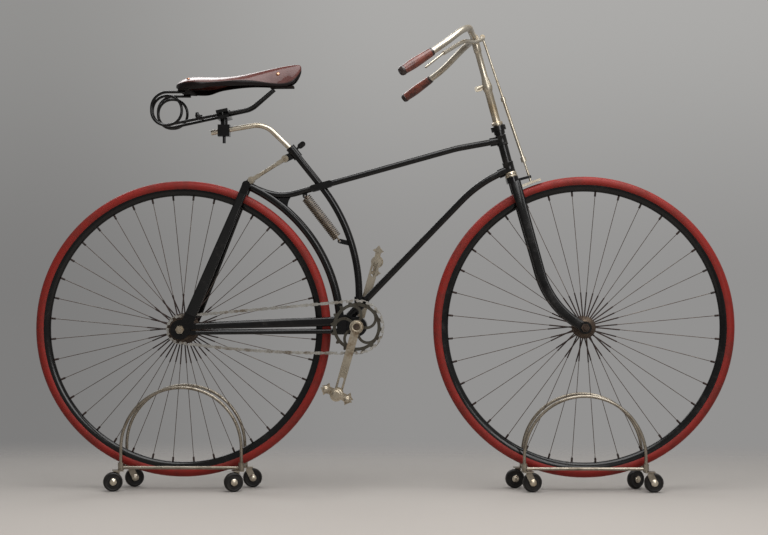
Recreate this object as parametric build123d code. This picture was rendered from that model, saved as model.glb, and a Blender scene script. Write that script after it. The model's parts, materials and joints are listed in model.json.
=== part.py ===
"""Antique safety bicycle with a sprung frame, held upright by two wheeled display stands.

Millimetres, +X forward, +Y to the rider's left, +Z up, floor at Z 0, origin midway between the tyres' ends.
"""
import os
from math import atan2, ceil, cos, degrees, hypot, pi, radians, sin, sqrt

from build123d import *

# Wheels, and the room from the bracket to the front tyre
FRONT_RADIUS = 381.0
REAR_RADIUS = 376.0
BRACKET_TO_TYRE = 192.0
TYRE_LIFT = 32.0
TYRE_HEIGHT = 21.0
TYRE_WIDTH = 27.0
RIM_DEPTH = 17.0
RIM_WIDTH = 22.0
SPOKE_WIDTH = 2.2
FRONT_SPOKES = 36
REAR_SPOKES = 40

# Hubs, as half lengths and radii about the axle
FRONT_FLANGE_RADIUS = 28.0
FRONT_FLANGE_Y = 31.0
FRONT_HUB_HALF = 40.5
FRONT_AXLE_RADIUS = 5.0
REAR_FLANGE_RADIUS = 39.0
REAR_FLANGE_Y = 29.0
REAR_HUB_HALF = 53.0
REAR_AXLE_RADIUS = 6.0
HUB_BARREL_RADIUS = 15.0
FLANGE_THICKNESS = 4.0
NUT_LENGTH = 9.0
NUT_WIDTH = 19.0
AXLE_STUB = 6.0

# Drive
CHAIN_PITCH = 25.4
CHAINRING_TEETH = 16
COG_TEETH = 8
CHAIN_LINE = 48.0
SPROCKET_THICKNESS = 5.0
CHAINRING_RIM = 8.0
CHAINRING_ARMS = 5
TOOTH_TIP = 1.2
TOOTH_ROOT = 5.0
CHAIN_HEIGHT = 8.0
BLOCK_LENGTH = 21.0
BLOCK_WIDTH = 6.4
LINK_LENGTH = 17.0
LINK_PLATE = 1.4
CRANK_THROW = 170.0
CRANK_Y = 64.0
CRANK_THICKNESS = 12.0
CRANK_WIDTH = 24.0
CRANK_ANGLE = 254.2
CRANK_AXLE_RADIUS = 9.0
CRANK_SLOT = 34.0
PEDAL_Y = 120.0
PEDAL_LENGTH = 84.0
PEDAL_REACH = 29.0
PEDAL_BARREL = 10.0
PEDAL_ROD = 4.0
PEDAL_PLATE = 3.0
PEDAL_SPINDLE = 5.0
PEDAL_TILTS = {"right": -25.0, "left": 82.0}

# Frame, as offsets from the rear axle, the bracket and the head
BRACKET_FROM_REAR = (443.0, 7.0)
BRACKET_RADIUS = 25.0
BRACKET_HALF = 34.0
HEAD_RAKE = 15.0
HEAD_LENGTH = 122.0
HEAD_RADIUS = 12.0
STEERER_RADIUS = 9.0
FORK_OFFSET = 77.7
CROWN_ROOM = 32.3
TOP_TUBE_RADIUS = 7.8
DOWN_TUBE_RADIUS = 8.5
ARCH_RADIUS_TUBE = 10.5
ARCH_GAP = 13.0
ARCH_TOP_ANGLE = 66.0
LUG_WALL = 3.0
LUG_REACH = 30.0
REAR_END_Y = 62.0
REAR_END_THICKNESS = 6.0
STAY_THICKNESS = 10.0
STAY_TOP_WIDTH = 21.0
STAY_FOOT_WIDTH = 29.0
STAY_AHEAD_OF_AXLE = 11.0
STAY_TOP_Y = 25.0
CHAIN_STAY_FRONT_Y = 30.0
CHAIN_STAY_THICKNESS = 14.0
UPPER_STAY_HEIGHT = 24.0
LOWER_STAY_HEIGHT = 12.0
SEAT_TUBE_RADIUS = 9.0
SEAT_TUBE_LEAN = 38.7
SEAT_TUBE_BEND = 440.0
SEAT_POST_RADIUS = 6.5
SPRING_RADIUS = 13.2
SPRING_WIRE = 3.4
SPRING_COILS = 17

# Steering head, bars and brake
BAR_RADIUS = 8.0
STEM_HEIGHT = 363.0
BAR_HALF_WIDTH = 340.0
GRIP_LENGTH = 98.0
GRIP_RADIUS = 12.5
BLADE_TOP = (28.0, 15.0)
BLADE_FOOT = (24.0, 12.0)
BLADE_TOP_Y = 30.0
FORK_END_Y = 48.0
FORK_END_THICKNESS = 7.0
SPOON_GAP = 5.5

# Stands
STAND_HALF = 152.0
HOOP_Y = 46.0
REAR_HOOP_LEG = 50.0
FRONT_HOOP_LEG = 30.0
STAND_ROD = 4.0
CASTER_RADIUS = 24.5
CASTER_WIDTH = 17.0
CASTER_TRAIL = 20.0

# Clearances
RUNNING_FIT = 0.08
SEAT_GAP = 0.3
SIDE_PLAY = 0.5
CHAIN_CLEARANCE = 0.5

# Main places
WHEELBASE = BRACKET_FROM_REAR[0] + BRACKET_TO_TYRE + FRONT_RADIUS
OVERALL = REAR_RADIUS + WHEELBASE + FRONT_RADIUS
REAR_AXLE = Vector(REAR_RADIUS - OVERALL / 2, 0, REAR_RADIUS + TYRE_LIFT)
FRONT_AXLE = Vector(OVERALL / 2 - FRONT_RADIUS, 0, FRONT_RADIUS + TYRE_LIFT)
BRACKET = REAR_AXLE + Vector(BRACKET_FROM_REAR[0], 0, BRACKET_FROM_REAR[1])
STEER_UP = Vector(-sin(radians(HEAD_RAKE)), 0, cos(radians(HEAD_RAKE)))
STEER_FORWARD = Vector(cos(radians(HEAD_RAKE)), 0, sin(radians(HEAD_RAKE)))
HEAD_ABOVE_AXLE = FRONT_RADIUS + CROWN_ROOM
HEAD_FOOT = FRONT_AXLE - STEER_FORWARD * FORK_OFFSET + STEER_UP * HEAD_ABOVE_AXLE
STEER = Plane(HEAD_FOOT, x_dir=STEER_FORWARD, z_dir=STEER_UP)
ARCH_RADIUS = REAR_RADIUS + ARCH_GAP + ARCH_RADIUS_TUBE
ARCH_TOP = REAR_AXLE + Vector(cos(radians(ARCH_TOP_ANGLE)), 0, sin(radians(ARCH_TOP_ANGLE))) * ARCH_RADIUS
SIDES = {"right": -1, "left": 1}


def on_steer(forward, up, y=0.0):
    """A point given along and across the steering axis."""
    return HEAD_FOOT + STEER_FORWARD * forward + STEER_UP * up + Vector(0, y, 0)


def rod(start, end, radius):
    """A straight round bar between two points."""
    run = Vector(*end) - Vector(*start)
    return extrude(Plane(Vector(*start), z_dir=run) * Circle(radius), run.length)


def tube(points, radius, bends):
    """A round bar along straight runs that are joined by tangent arcs."""
    path = FilletPolyline(*points, radius=bends)
    return sweep(Plane(path @ 0, z_dir=path % 0) * Circle(radius), path=path)


def turned(profile):
    """A solid of revolution about Z from (radius, height) points."""
    return revolve(Plane.XZ * Polygon(*profile, align=None), Axis.Z)


def across(place):
    """The location that lays a turned piece's axis along Y at a place."""
    return Pos(place.X, place.Y, place.Z) * Rot(-90, 0, 0)


def plate(outline, y_low, y_high):
    """An outline drawn in X and Z, as thick as the stretch of Y it fills."""
    return extrude(Plane.XZ.offset(-y_high) * outline, y_high - y_low, dir=(0, -1, 0))


def strap(start, end, width):
    """A round-ended outline between two places, in X and Z."""
    run = Vector(*end) - Vector(*start)
    middle = (Vector(*start) + Vector(*end)) / 2
    turn = degrees(atan2(run.Z, run.X))
    return Pos(middle.X, middle.Z) * Rot(0, 0, turn) * SlotCenterToCenter(run.length, width)


def disc(place, radius):
    """A round outline at a place, in X and Z."""
    return Pos(place.X, place.Z) * Circle(radius)


def tapered(start, end, along, start_size, end_size):
    """A bar of rounded section, (thickness in Y, width), cut square to a direction at both ends."""
    sections = []
    for place, (thick, wide) in ((start, start_size), (end, end_size)):
        section = RectangleRounded(thick, wide, min(thick, wide) * 0.42)
        sections.append(Plane(place, x_dir=(0, 1, 0), z_dir=along) * section)
    return loft(sections)


def largest(shape):
    """The main solid of a piece after its ends have been coped."""
    return max(shape.solids(), key=lambda solid: solid.volume)


def save(name, shape):
    """Write one node; several solids stay together as one compound."""
    solids = shape.solids() if hasattr(shape, "solids") else [s for piece in shape for s in piece.solids()]
    export_step(solids[0] if len(solids) == 1 else Compound(children=solids), f"parts/{name}.step")


os.makedirs("parts", exist_ok=True)

# Wheels: rubber tyre, steel rim, wire spokes in pairs that meet at the hub, and a hub turning on its axle
HUB_END_RADIUS = 13.0
WHEELS = (
    # name, axle, radius, spokes, flange radius, flange y, hub half length, axle radius
    ("rear", REAR_AXLE, REAR_RADIUS, REAR_SPOKES, REAR_FLANGE_RADIUS, REAR_FLANGE_Y, REAR_HUB_HALF,
     REAR_AXLE_RADIUS),
    ("front", FRONT_AXLE, FRONT_RADIUS, FRONT_SPOKES, FRONT_FLANGE_RADIUS, FRONT_FLANGE_Y, FRONT_HUB_HALF,
     FRONT_AXLE_RADIUS),
)


def mirrored(profile):
    """A closed profile from its half on the right, with (radius, y) points."""
    return [(r, -y) for r, y in profile] + [(r, y) for r, y in reversed(profile)]


def spoke(start, end):
    """A straight wire with flat sides between hub flange and rim."""
    run = end - start
    return extrude(Plane(start, z_dir=run) * Rectangle(SPOKE_WIDTH, SPOKE_WIDTH), run.length)


for name, axle, radius, spokes, flange_radius, flange_y, hub_half, axle_radius in WHEELS:
    seat = radius - TYRE_HEIGHT
    half = TYRE_WIDTH / 2
    tyre = turned(mirrored([
        (seat + SEAT_GAP, 0.66 * half),
        (radius - 0.45 * TYRE_HEIGHT, half),
        (radius, 0.42 * half),
    ]))
    save(f"{name}_tyre", across(axle) * tyre)

    rim_half = RIM_WIDTH / 2
    rim = turned(mirrored([
        (seat - RIM_DEPTH, 0.45 * rim_half),
        (seat - 0.5 * RIM_DEPTH, 0.92 * rim_half),
        (seat, rim_half),
    ]))
    save(f"{name}_rim", across(axle) * rim)

    wires = []
    for pair in range(spokes // 2):
        for side in SIDES.values():
            hub_angle = 4 * pi * pair / spokes
            rim_angle = hub_angle + side * pi / spokes
            foot = Vector(cos(hub_angle), 0, sin(hub_angle)) * (flange_radius + SEAT_GAP)
            head = Vector(cos(rim_angle), 0, sin(rim_angle)) * (seat - RIM_DEPTH - SEAT_GAP)
            foot = foot + Vector(0, side * flange_y, 0)
            head = head + Vector(0, side * SPOKE_WIDTH, 0)
            wires.append(spoke(axle + foot, axle + head))
    save(f"{name}_spokes", wires)

    bore = axle_radius + RUNNING_FIT
    hub = turned(mirrored([
        (bore, hub_half),
        (HUB_END_RADIUS, hub_half),
        (HUB_END_RADIUS, flange_y + 2 * FLANGE_THICKNESS),
        (flange_radius, flange_y + FLANGE_THICKNESS / 2),
        (flange_radius, flange_y - FLANGE_THICKNESS / 2),
        (HUB_BARREL_RADIUS, flange_y - 2 * FLANGE_THICKNESS),
    ]))
    save(f"{name}_hub", across(axle) * hub)


def axle_with_nuts(axle, radius, hub_half, end_y, end_thickness):
    """A fixed axle with its bearing cones inside the fork ends and a hexagon nut outside each."""
    nut_y = end_y + end_thickness / 2
    cone_end = end_y - end_thickness / 2
    shaft = across(axle) * Cylinder(radius, 2 * (nut_y + NUT_LENGTH + AXLE_STUB))
    for side in SIDES.values():
        cone_middle = (hub_half + SIDE_PLAY + cone_end) / 2
        cone = Cylinder(radius * 1.6, cone_end - hub_half - SIDE_PLAY)
        nut = extrude(RegularPolygon(NUT_WIDTH / 2, 6, major_radius=False), NUT_LENGTH / 2, both=True)
        shaft += across(axle + Vector(0, side * cone_middle, 0)) * cone
        shaft += across(axle + Vector(0, side * (nut_y + NUT_LENGTH / 2), 0)) * nut
    return shaft


save("rear_axle", axle_with_nuts(REAR_AXLE, REAR_AXLE_RADIUS, REAR_HUB_HALF, REAR_END_Y, REAR_END_THICKNESS))
save("front_axle", axle_with_nuts(FRONT_AXLE, FRONT_AXLE_RADIUS, FRONT_HUB_HALF, FORK_END_Y,
                                  FORK_END_THICKNESS))

# Drive: block chain of one-inch pitch, walked round both sprockets with a slightly slack lower run
RING_PITCH = CHAIN_PITCH / (2 * sin(pi / CHAINRING_TEETH))
COG_PITCH = CHAIN_PITCH / (2 * sin(pi / COG_TEETH))
CENTRES = hypot(BRACKET.X - REAR_AXLE.X, BRACKET.Z - REAR_AXLE.Z)
TOWARDS_COG = atan2(REAR_AXLE.Z - BRACKET.Z, REAR_AXLE.X - BRACKET.X) % (2 * pi)
TANGENT_TURN = pi / 2 - (RING_PITCH - COG_PITCH) / CENTRES
UPPER_ANGLE = TOWARDS_COG - TANGENT_TURN
LOWER_ANGLE = TOWARDS_COG + TANGENT_TURN
STRAIGHT_RUN = sqrt(CENTRES ** 2 - (RING_PITCH - COG_PITCH) ** 2)
COG_LENGTH = (LOWER_ANGLE - UPPER_ANGLE) / (2 * pi) * COG_TEETH * CHAIN_PITCH
RING_LENGTH = (2 * pi - LOWER_ANGLE + UPPER_ANGLE) / (2 * pi) * CHAINRING_TEETH * CHAIN_PITCH
CHAIN_LINKS = ceil((2 * STRAIGHT_RUN + COG_LENGTH + RING_LENGTH) / CHAIN_PITCH)
LOWER_RUN = CHAIN_LINKS * CHAIN_PITCH - STRAIGHT_RUN - COG_LENGTH - RING_LENGTH
CHAIN_SAG = sqrt(3 * STRAIGHT_RUN * (LOWER_RUN - STRAIGHT_RUN) / 8)


def round_point(centre, radius, angle):
    """A place on a pitch circle, in the plane of the chain."""
    return centre + Vector(cos(angle) * radius, -CHAIN_LINE, sin(angle) * radius)


def chain_place(length):
    """The place on the chain's loop at a length from where it leaves the chainring."""
    length = length % (CHAIN_LINKS * CHAIN_PITCH)
    if length < STRAIGHT_RUN:
        start = round_point(BRACKET, RING_PITCH, UPPER_ANGLE)
        end = round_point(REAR_AXLE, COG_PITCH, UPPER_ANGLE)
        return start + (end - start) * (length / STRAIGHT_RUN)
    length -= STRAIGHT_RUN
    if length < COG_LENGTH:
        angle = UPPER_ANGLE + length / (COG_TEETH * CHAIN_PITCH) * 2 * pi
        return round_point(REAR_AXLE, COG_PITCH, angle)
    length -= COG_LENGTH
    if length < LOWER_RUN:
        start = round_point(REAR_AXLE, COG_PITCH, LOWER_ANGLE)
        end = round_point(BRACKET, RING_PITCH, LOWER_ANGLE)
        share = length / LOWER_RUN
        return start + (end - start) * share - Vector(0, 0, 4 * CHAIN_SAG * share * (1 - share))
    angle = LOWER_ANGLE + (length - LOWER_RUN) / (CHAINRING_TEETH * CHAIN_PITCH) * 2 * pi
    return round_point(BRACKET, RING_PITCH, angle)


def link_outline(length, height):
    """A six-sided link with blunt points fore and aft."""
    shoulder = length / 2 - height * 0.3
    return Polygon((-length / 2, 0), (-shoulder, -height / 2), (shoulder, -height / 2),
                   (length / 2, 0), (shoulder, height / 2), (-shoulder, height / 2), align=None)


def along_chain(length, outline, y_low, y_high):
    """One link laid along the loop, which runs anticlockwise, so that the link's upper side faces inwards."""
    place = chain_place(length)
    ahead = chain_place(length + CHAIN_STEP) - chain_place(length - CHAIN_STEP)
    turn = degrees(atan2(ahead.Z, ahead.X))
    return plate(Pos(place.X, place.Z) * Rot(0, 0, turn) * outline, place.Y + y_low, place.Y + y_high)


def over_teeth(length):
    """Whether the block at a length along the loop lies in the way of a sprocket's teeth."""
    place = chain_place(length)
    gaps = []
    for centre, pitch in ((BRACKET, RING_PITCH), (REAR_AXLE, COG_PITCH)):
        to_centre = hypot(place.X - centre.X, place.Z - centre.Z)
        gaps.append(to_centre - CHAIN_HEIGHT / 2 - BLOCK_LENGTH / 2 - pitch - TEETH_CLEAR)
    return min(gaps) < 0


CHAIN_STEP = 2.0
TEETH_CLEAR = TOOTH_TIP + CHAIN_CLEARANCE
PLATE_INNER = BLOCK_WIDTH / 2 + SEAT_GAP / 2
BLOCK = Rectangle(BLOCK_LENGTH, CHAIN_HEIGHT)
LOW_HEIGHT = CHAIN_HEIGHT / 2 - TEETH_CLEAR
LOW_BLOCK = Pos(0, -TEETH_CLEAR - LOW_HEIGHT / 2) * Rectangle(BLOCK_LENGTH, LOW_HEIGHT)
LINK = link_outline(LINK_LENGTH, CHAIN_HEIGHT - 1)
chain = []
for link in range(CHAIN_LINKS):
    block_at = link * CHAIN_PITCH
    outline = LOW_BLOCK if over_teeth(block_at) else BLOCK
    chain.append(along_chain(block_at, outline, -BLOCK_WIDTH / 2, BLOCK_WIDTH / 2))
    half_on = (link + 0.5) * CHAIN_PITCH
    chain.append(along_chain(half_on, LINK, PLATE_INNER, PLATE_INNER + LINK_PLATE))
    chain.append(along_chain(half_on, LINK, -PLATE_INNER - LINK_PLATE, -PLATE_INNER))
save("chain", chain)


def toothed(teeth, pitch, first_angle):
    """A sprocket's outline about its own centre, with a tooth for each gap between the chain's blocks."""
    root = pitch - TOOTH_ROOT
    tip = pitch + TOOTH_TIP
    base_half = 0.2 * CHAIN_PITCH
    tip_half = 0.07 * CHAIN_PITCH
    tooth = Polygon((root - 2, -base_half), (root, -base_half), (tip, -tip_half),
                    (tip, tip_half), (root, base_half), (root - 2, base_half), align=None)
    outline = Circle(root)
    for number in range(teeth):
        outline += Rot(0, 0, degrees(first_angle) + 360 * number / teeth) * tooth
    return outline


FIRST_RING_TOOTH = UPPER_ANGLE + pi / CHAINRING_TEETH
PITCHES_TO_COG = STRAIGHT_RUN / CHAIN_PITCH
FIRST_COG_TOOTH = UPPER_ANGLE + (ceil(PITCHES_TO_COG) + 0.5 - PITCHES_TO_COG) * 2 * pi / COG_TEETH
SPROCKET_Y = (-CHAIN_LINE - SPROCKET_THICKNESS / 2, -CHAIN_LINE + SPROCKET_THICKNESS / 2)
cog_outline = Pos(REAR_AXLE.X, REAR_AXLE.Z) * toothed(COG_TEETH, COG_PITCH, FIRST_COG_TOOTH)
save("rear_cog", plate(cog_outline - disc(REAR_AXLE, HUB_END_RADIUS + RUNNING_FIT), *SPROCKET_Y))

# Crank set: axle, spider ring with curved arms, two slotted cranks, and pedals with pointed end plates
RING_INNER = RING_PITCH - TOOTH_ROOT - CHAINRING_RIM
BOSS_RADIUS = 17.0
ARM_WIDTH = 7.0
ARM_SWEEP = 0.62
ring_outline = toothed(CHAINRING_TEETH, RING_PITCH, FIRST_RING_TOOTH) - Circle(RING_INNER)
for arm in range(CHAINRING_ARMS):
    start = (BOSS_RADIUS - 4, 0)
    end = ((RING_INNER + 3) * cos(ARM_SWEEP), (RING_INNER + 3) * sin(ARM_SWEEP))
    curl = ThreePointArc(start, (0.72 * RING_INNER, 0.03 * RING_INNER), end)
    ring_outline += Rot(0, 0, 360 * arm / CHAINRING_ARMS) * trace(curl, ARM_WIDTH)
ring_outline = ring_outline + Circle(BOSS_RADIUS) - Circle(CRANK_AXLE_RADIUS + RUNNING_FIT)
save("chainring", plate(Pos(BRACKET.X, BRACKET.Z) * ring_outline, *SPROCKET_Y))

CRANK_INNER = CRANK_Y - CRANK_THICKNESS / 2
CRANK_OUTER = CRANK_Y + CRANK_THICKNESS / 2
save("crank_axle", across(BRACKET) * Cylinder(CRANK_AXLE_RADIUS, 2 * CRANK_OUTER))

PEDAL_POINT = 14.0
PEDAL_BOSS = 14.0
SPINDLE_WASHER = 10.0
SPINDLE_CAP = 8.0
WASHER_THICKNESS = 3.0
pedal_outline = Circle(PEDAL_BOSS) + Rectangle(2 * PEDAL_REACH, PEDAL_ROD * 3)
for end in (-PEDAL_REACH, PEDAL_REACH):
    star = []
    for point in range(8):
        reach = PEDAL_POINT if point % 2 == 0 else 0.55 * PEDAL_POINT
        star.append((end + reach * cos(point * pi / 4), reach * sin(point * pi / 4)))
    pedal_outline += Polygon(*star, align=None)

for name, side in SIDES.items():
    angle = radians(CRANK_ANGLE + (0 if name == "right" else 180))
    reach = Vector(cos(angle), 0, sin(angle))
    spindle = BRACKET + reach * CRANK_THROW
    slot_end = spindle - reach * CRANK_SLOT
    outline = strap(BRACKET, spindle, CRANK_WIDTH * 0.86) + disc(BRACKET, CRANK_WIDTH * 0.72)
    outline = outline + disc(spindle, CRANK_WIDTH * 0.56) - disc(BRACKET, CRANK_AXLE_RADIUS + RUNNING_FIT)
    outline = outline - strap(slot_end, spindle, 2 * PEDAL_SPINDLE)
    low, high = sorted((side * CRANK_INNER, side * CRANK_OUTER))
    pedal_inner = PEDAL_Y - PEDAL_LENGTH / 2
    pedal_outer = PEDAL_Y + PEDAL_LENGTH / 2
    cap_inner = pedal_outer + SIDE_PLAY
    washer_low, washer_high = sorted((side * CRANK_OUTER, side * (CRANK_OUTER + WASHER_THICKNESS)))
    cap_low, cap_high = sorted((side * cap_inner, side * (cap_inner + PEDAL_SPINDLE)))
    crank = plate(outline, low, high)
    crank += plate(disc(spindle, SPINDLE_WASHER), washer_low, washer_high)
    spindle_start = spindle + Vector(0, side * CRANK_INNER, 0)
    crank += rod(spindle_start, spindle + Vector(0, side * cap_inner, 0), PEDAL_SPINDLE)
    crank += plate(disc(spindle, SPINDLE_CAP), cap_low, cap_high)
    save(f"crank_{name}", crank)

    turn = Rot(0, 0, PEDAL_TILTS[name])
    at_spindle = Pos(spindle.X, spindle.Z)
    pedal_middle = across(spindle + Vector(0, side * PEDAL_Y, 0))
    pedal = pedal_middle * Cylinder(PEDAL_BARREL, PEDAL_LENGTH)
    for plate_start in (pedal_inner, pedal_outer - PEDAL_PLATE):
        low, high = sorted((side * plate_start, side * (plate_start + PEDAL_PLATE)))
        pedal += plate(at_spindle * turn * pedal_outline, low, high)
    for end in (-PEDAL_REACH, PEDAL_REACH):
        tilt = radians(PEDAL_TILTS[name])
        place = spindle + Vector(end * cos(tilt), side * PEDAL_Y, end * sin(tilt))
        pedal += across(place) * Cylinder(PEDAL_ROD, PEDAL_LENGTH + 2 * PEDAL_ROD)
    pedal -= pedal_middle * Cylinder(PEDAL_SPINDLE + RUNNING_FIT, PEDAL_LENGTH)
    save(f"pedal_{name}", pedal)

# Frame: head with lugs, two main tubes, arch round the rear wheel, stays, bracket and rear ends
TOP_TUBE_UP = 97.4
DOWN_TUBE_UP = 21.0
TOP_BEND_BACK = 115.0
TOP_BEND_DROP = 20.7
TOP_DIP_AHEAD = 83.5
TOP_DIP_DROP = 31.5
DOWN_BEND_BACK = 78.0
DOWN_BEND_DROP = 34.4
TOP_BEND_FROM_HEAD = Vector(-TOP_BEND_BACK, 0, -TOP_BEND_DROP)
TOP_DIP_FROM_ARCH = Vector(TOP_DIP_AHEAD, 0, -TOP_DIP_DROP)
DOWN_BEND_FROM_HEAD = Vector(-DOWN_BEND_BACK, 0, -DOWN_BEND_DROP)
DOWN_FOOT_FROM_BRACKET = Vector(-25.9, 0, 18.0)
TOP_AT_HEAD = on_steer(0, TOP_TUBE_UP)
TOP_BEND = TOP_AT_HEAD + TOP_BEND_FROM_HEAD
TOP_DIP = ARCH_TOP + TOP_DIP_FROM_ARCH
DOWN_AT_HEAD = on_steer(0, DOWN_TUBE_UP)
DOWN_BEND = DOWN_AT_HEAD + DOWN_BEND_FROM_HEAD
DOWN_FOOT = BRACKET + DOWN_FOOT_FROM_BRACKET
TOP_BEND_RADIUS = 300.0
TOP_DIP_RADIUS = 130.0
DOWN_BEND_RADIUS = 320.0
BEARING_CUP = 2.0
CUP_LENGTH = 8.0

cup = HEAD_RADIUS + BEARING_CUP
head_tube = STEER * turned([
    (STEERER_RADIUS + RUNNING_FIT, 0), (cup, 0), (cup, CUP_LENGTH), (HEAD_RADIUS, CUP_LENGTH),
    (HEAD_RADIUS, HEAD_LENGTH - CUP_LENGTH), (cup, HEAD_LENGTH - CUP_LENGTH), (cup, HEAD_LENGTH),
    (STEERER_RADIUS + RUNNING_FIT, HEAD_LENGTH),
])
steerer_way = STEER * Pos(0, 0, HEAD_LENGTH / 2) * Cylinder(STEERER_RADIUS + RUNNING_FIT, HEAD_LENGTH)
for place, bend_from_head, radius in (
    (TOP_AT_HEAD, TOP_BEND_FROM_HEAD, TOP_TUBE_RADIUS),
    (DOWN_AT_HEAD, DOWN_BEND_FROM_HEAD, DOWN_TUBE_RADIUS),
):
    towards = bend_from_head.normalized()
    head_tube += rod(place, place + towards * LUG_REACH, radius + LUG_WALL) - steerer_way
save("head_tube", head_tube)

# The stays run straight from just ahead of the axle to a lug at the top of the arch, which has a web below it
STAY_AIM = REAR_AXLE + Vector(STAY_AHEAD_OF_AXLE, 0, 0)
STAY_DIRECTION = (ARCH_TOP - STAY_AIM).normalized()
STAY_FOOT_REACH = 40.0
STAY_TOP_DROP = 24.0
REAR_BOSS_RADIUS = 10.5
LINK_LOW_FROM_ARCH = Vector(11.0, 0, 13.0)
LINK_LOW = ARCH_TOP + LINK_LOW_FROM_ARCH
EYE_RADIUS = 9.0
EAR_THICKNESS = 10.0
PIN_RADIUS = 4.0
ARCH_FOOT_ANGLE = 2.0
WEB_THICKNESS = 9.0
WEB_TIP_ANGLE = 47.5
WEB_FRONT = 140.0
WEB_HOLLOW = 12.0

arch_path = Plane.XZ * CenterArc((REAR_AXLE.X, REAR_AXLE.Z), ARCH_RADIUS, ARCH_FOOT_ANGLE,
                                 ARCH_TOP_ANGLE - ARCH_FOOT_ANGLE)
arch_tube = sweep(Plane(arch_path @ 0, z_dir=arch_path % 0) * Circle(ARCH_RADIUS_TUBE), path=arch_path)
top_bends = [TOP_BEND_RADIUS, TOP_DIP_RADIUS]
top_tube = tube([TOP_AT_HEAD, TOP_BEND, TOP_DIP, ARCH_TOP], TOP_TUBE_RADIUS, top_bends)

TOP_DIRECTION = (TOP_BEND - TOP_DIP).normalized()
web_tip = REAR_AXLE + Vector(cos(radians(WEB_TIP_ANGLE)), 0, sin(radians(WEB_TIP_ANGLE))) * ARCH_RADIUS
web_front = TOP_DIP + TOP_DIRECTION * (WEB_FRONT - TOP_DIP_AHEAD)
web_middle = (web_tip + web_front) / 2 + Vector(-WEB_HOLLOW, 0, WEB_HOLLOW)
hollow_edge = ThreePointArc((web_front.X, web_front.Z), (web_middle.X, web_middle.Z), (web_tip.X, web_tip.Z))
long_edges = Polyline((web_tip.X, web_tip.Z), (ARCH_TOP.X, ARCH_TOP.Z), (TOP_DIP.X, TOP_DIP.Z),
                      (web_front.X, web_front.Z))
top_run = FilletPolyline((TOP_BEND.X, TOP_BEND.Z), (TOP_DIP.X, TOP_DIP.Z), (ARCH_TOP.X, ARCH_TOP.Z),
                         radius=TOP_DIP_RADIUS)
web_outline = make_face(hollow_edge + long_edges) - trace(top_run, 2 * (TOP_TUBE_RADIUS + RUNNING_FIT))
web_outline -= disc(REAR_AXLE, ARCH_RADIUS + ARCH_RADIUS_TUBE + RUNNING_FIT)
web_face = max(web_outline.faces(), key=lambda face: face.area)
web = plate(web_face, -WEB_THICKNESS / 2, WEB_THICKNESS / 2)
rear_lug = across(ARCH_TOP) * Cylinder(REAR_BOSS_RADIUS, 2 * STAY_TOP_Y + STAY_THICKNESS)
rear_lug += plate(strap(ARCH_TOP, LINK_LOW, 2 * EYE_RADIUS), -EAR_THICKNESS / 2, EAR_THICKNESS / 2)
for side in SIDES.values():
    ear_top = ARCH_TOP + Vector(0, side * STAY_TOP_Y, 0)
    ear_size = (STAY_THICKNESS, STAY_TOP_WIDTH)
    rear_lug += tapered(ear_top - STAY_DIRECTION * STAY_TOP_DROP, ear_top, STAY_DIRECTION, ear_size, ear_size)
rear_lug -= across(LINK_LOW) * Cylinder(PIN_RADIUS + RUNNING_FIT, 2 * EAR_THICKNESS)
cheek_room = []
for side in SIDES.values():
    low, high = sorted((side * EAR_THICKNESS / 2, side * EAR_THICKNESS))
    cheek_room.append(plate(disc(LINK_LOW, EYE_RADIUS + SIDE_PLAY), low, high))
arch_tube = largest(arch_tube - rear_lug - cheek_room)
top_tube = largest(top_tube - rear_lug - arch_tube - cheek_room)
rear_lug = rear_lug - cheek_room + web
save("rear_lug", rear_lug)

BLOCK_REAR = 50.5
BLOCK_FRONT = 26.0
BLOCK_LOW = 20.0
BLOCK_HIGH = 30.0
UPPER_STAY_UP = 13.0
LOWER_STAY_DOWN = 12.0
DOWN_LUG_REACH = 62.0
SEAT_SOCKET = 24.0
SEAT_FOOT_AHEAD = 4.0
SEAT_FOOT_UP = 75.0
SEAT_FOOT = BRACKET + Vector(SEAT_FOOT_AHEAD, 0, SEAT_FOOT_UP)
DOWN_DIRECTION = (DOWN_BEND - DOWN_FOOT).normalized()
block_half = CHAIN_STAY_FRONT_Y + CHAIN_STAY_THICKNESS / 2
at_bracket = Pos(BRACKET.X, BRACKET.Z)
block_outline = Polygon((-BLOCK_REAR, -BLOCK_LOW), (0, -BLOCK_LOW), (0, BLOCK_LOW),
                        (-BLOCK_FRONT, BLOCK_HIGH), (-BLOCK_REAR, BLOCK_HIGH), align=None)
bracket = plate(at_bracket * block_outline, -BRACKET_HALF / 2, BRACKET_HALF / 2)
stay_block = Polygon((-BLOCK_REAR, -BLOCK_LOW), (-BLOCK_FRONT, -BLOCK_LOW), (-BLOCK_FRONT, BLOCK_HIGH),
                     (-BLOCK_REAR, BLOCK_HIGH), align=None)
bracket += plate(at_bracket * stay_block, -block_half, block_half)
bracket += across(BRACKET) * Cylinder(BRACKET_RADIUS, 2 * BRACKET_HALF)
bracket += rod(DOWN_FOOT, DOWN_FOOT + DOWN_DIRECTION * DOWN_LUG_REACH, DOWN_TUBE_RADIUS + LUG_WALL)
bracket += rod(SEAT_FOOT - Vector(0, 0, SEAT_SOCKET), SEAT_FOOT, SEAT_TUBE_RADIUS + LUG_WALL)
bracket -= across(BRACKET) * Cylinder(CRANK_AXLE_RADIUS + RUNNING_FIT, 2 * BRACKET_HALF)
save("bottom_bracket", bracket)

save("rear_arch_tube", largest(arch_tube - bracket))
down_tube = tube([DOWN_AT_HEAD, DOWN_BEND, DOWN_FOOT], DOWN_TUBE_RADIUS, [DOWN_BEND_RADIUS])
save("down_tube", largest(down_tube - head_tube - steerer_way - bracket))

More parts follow.
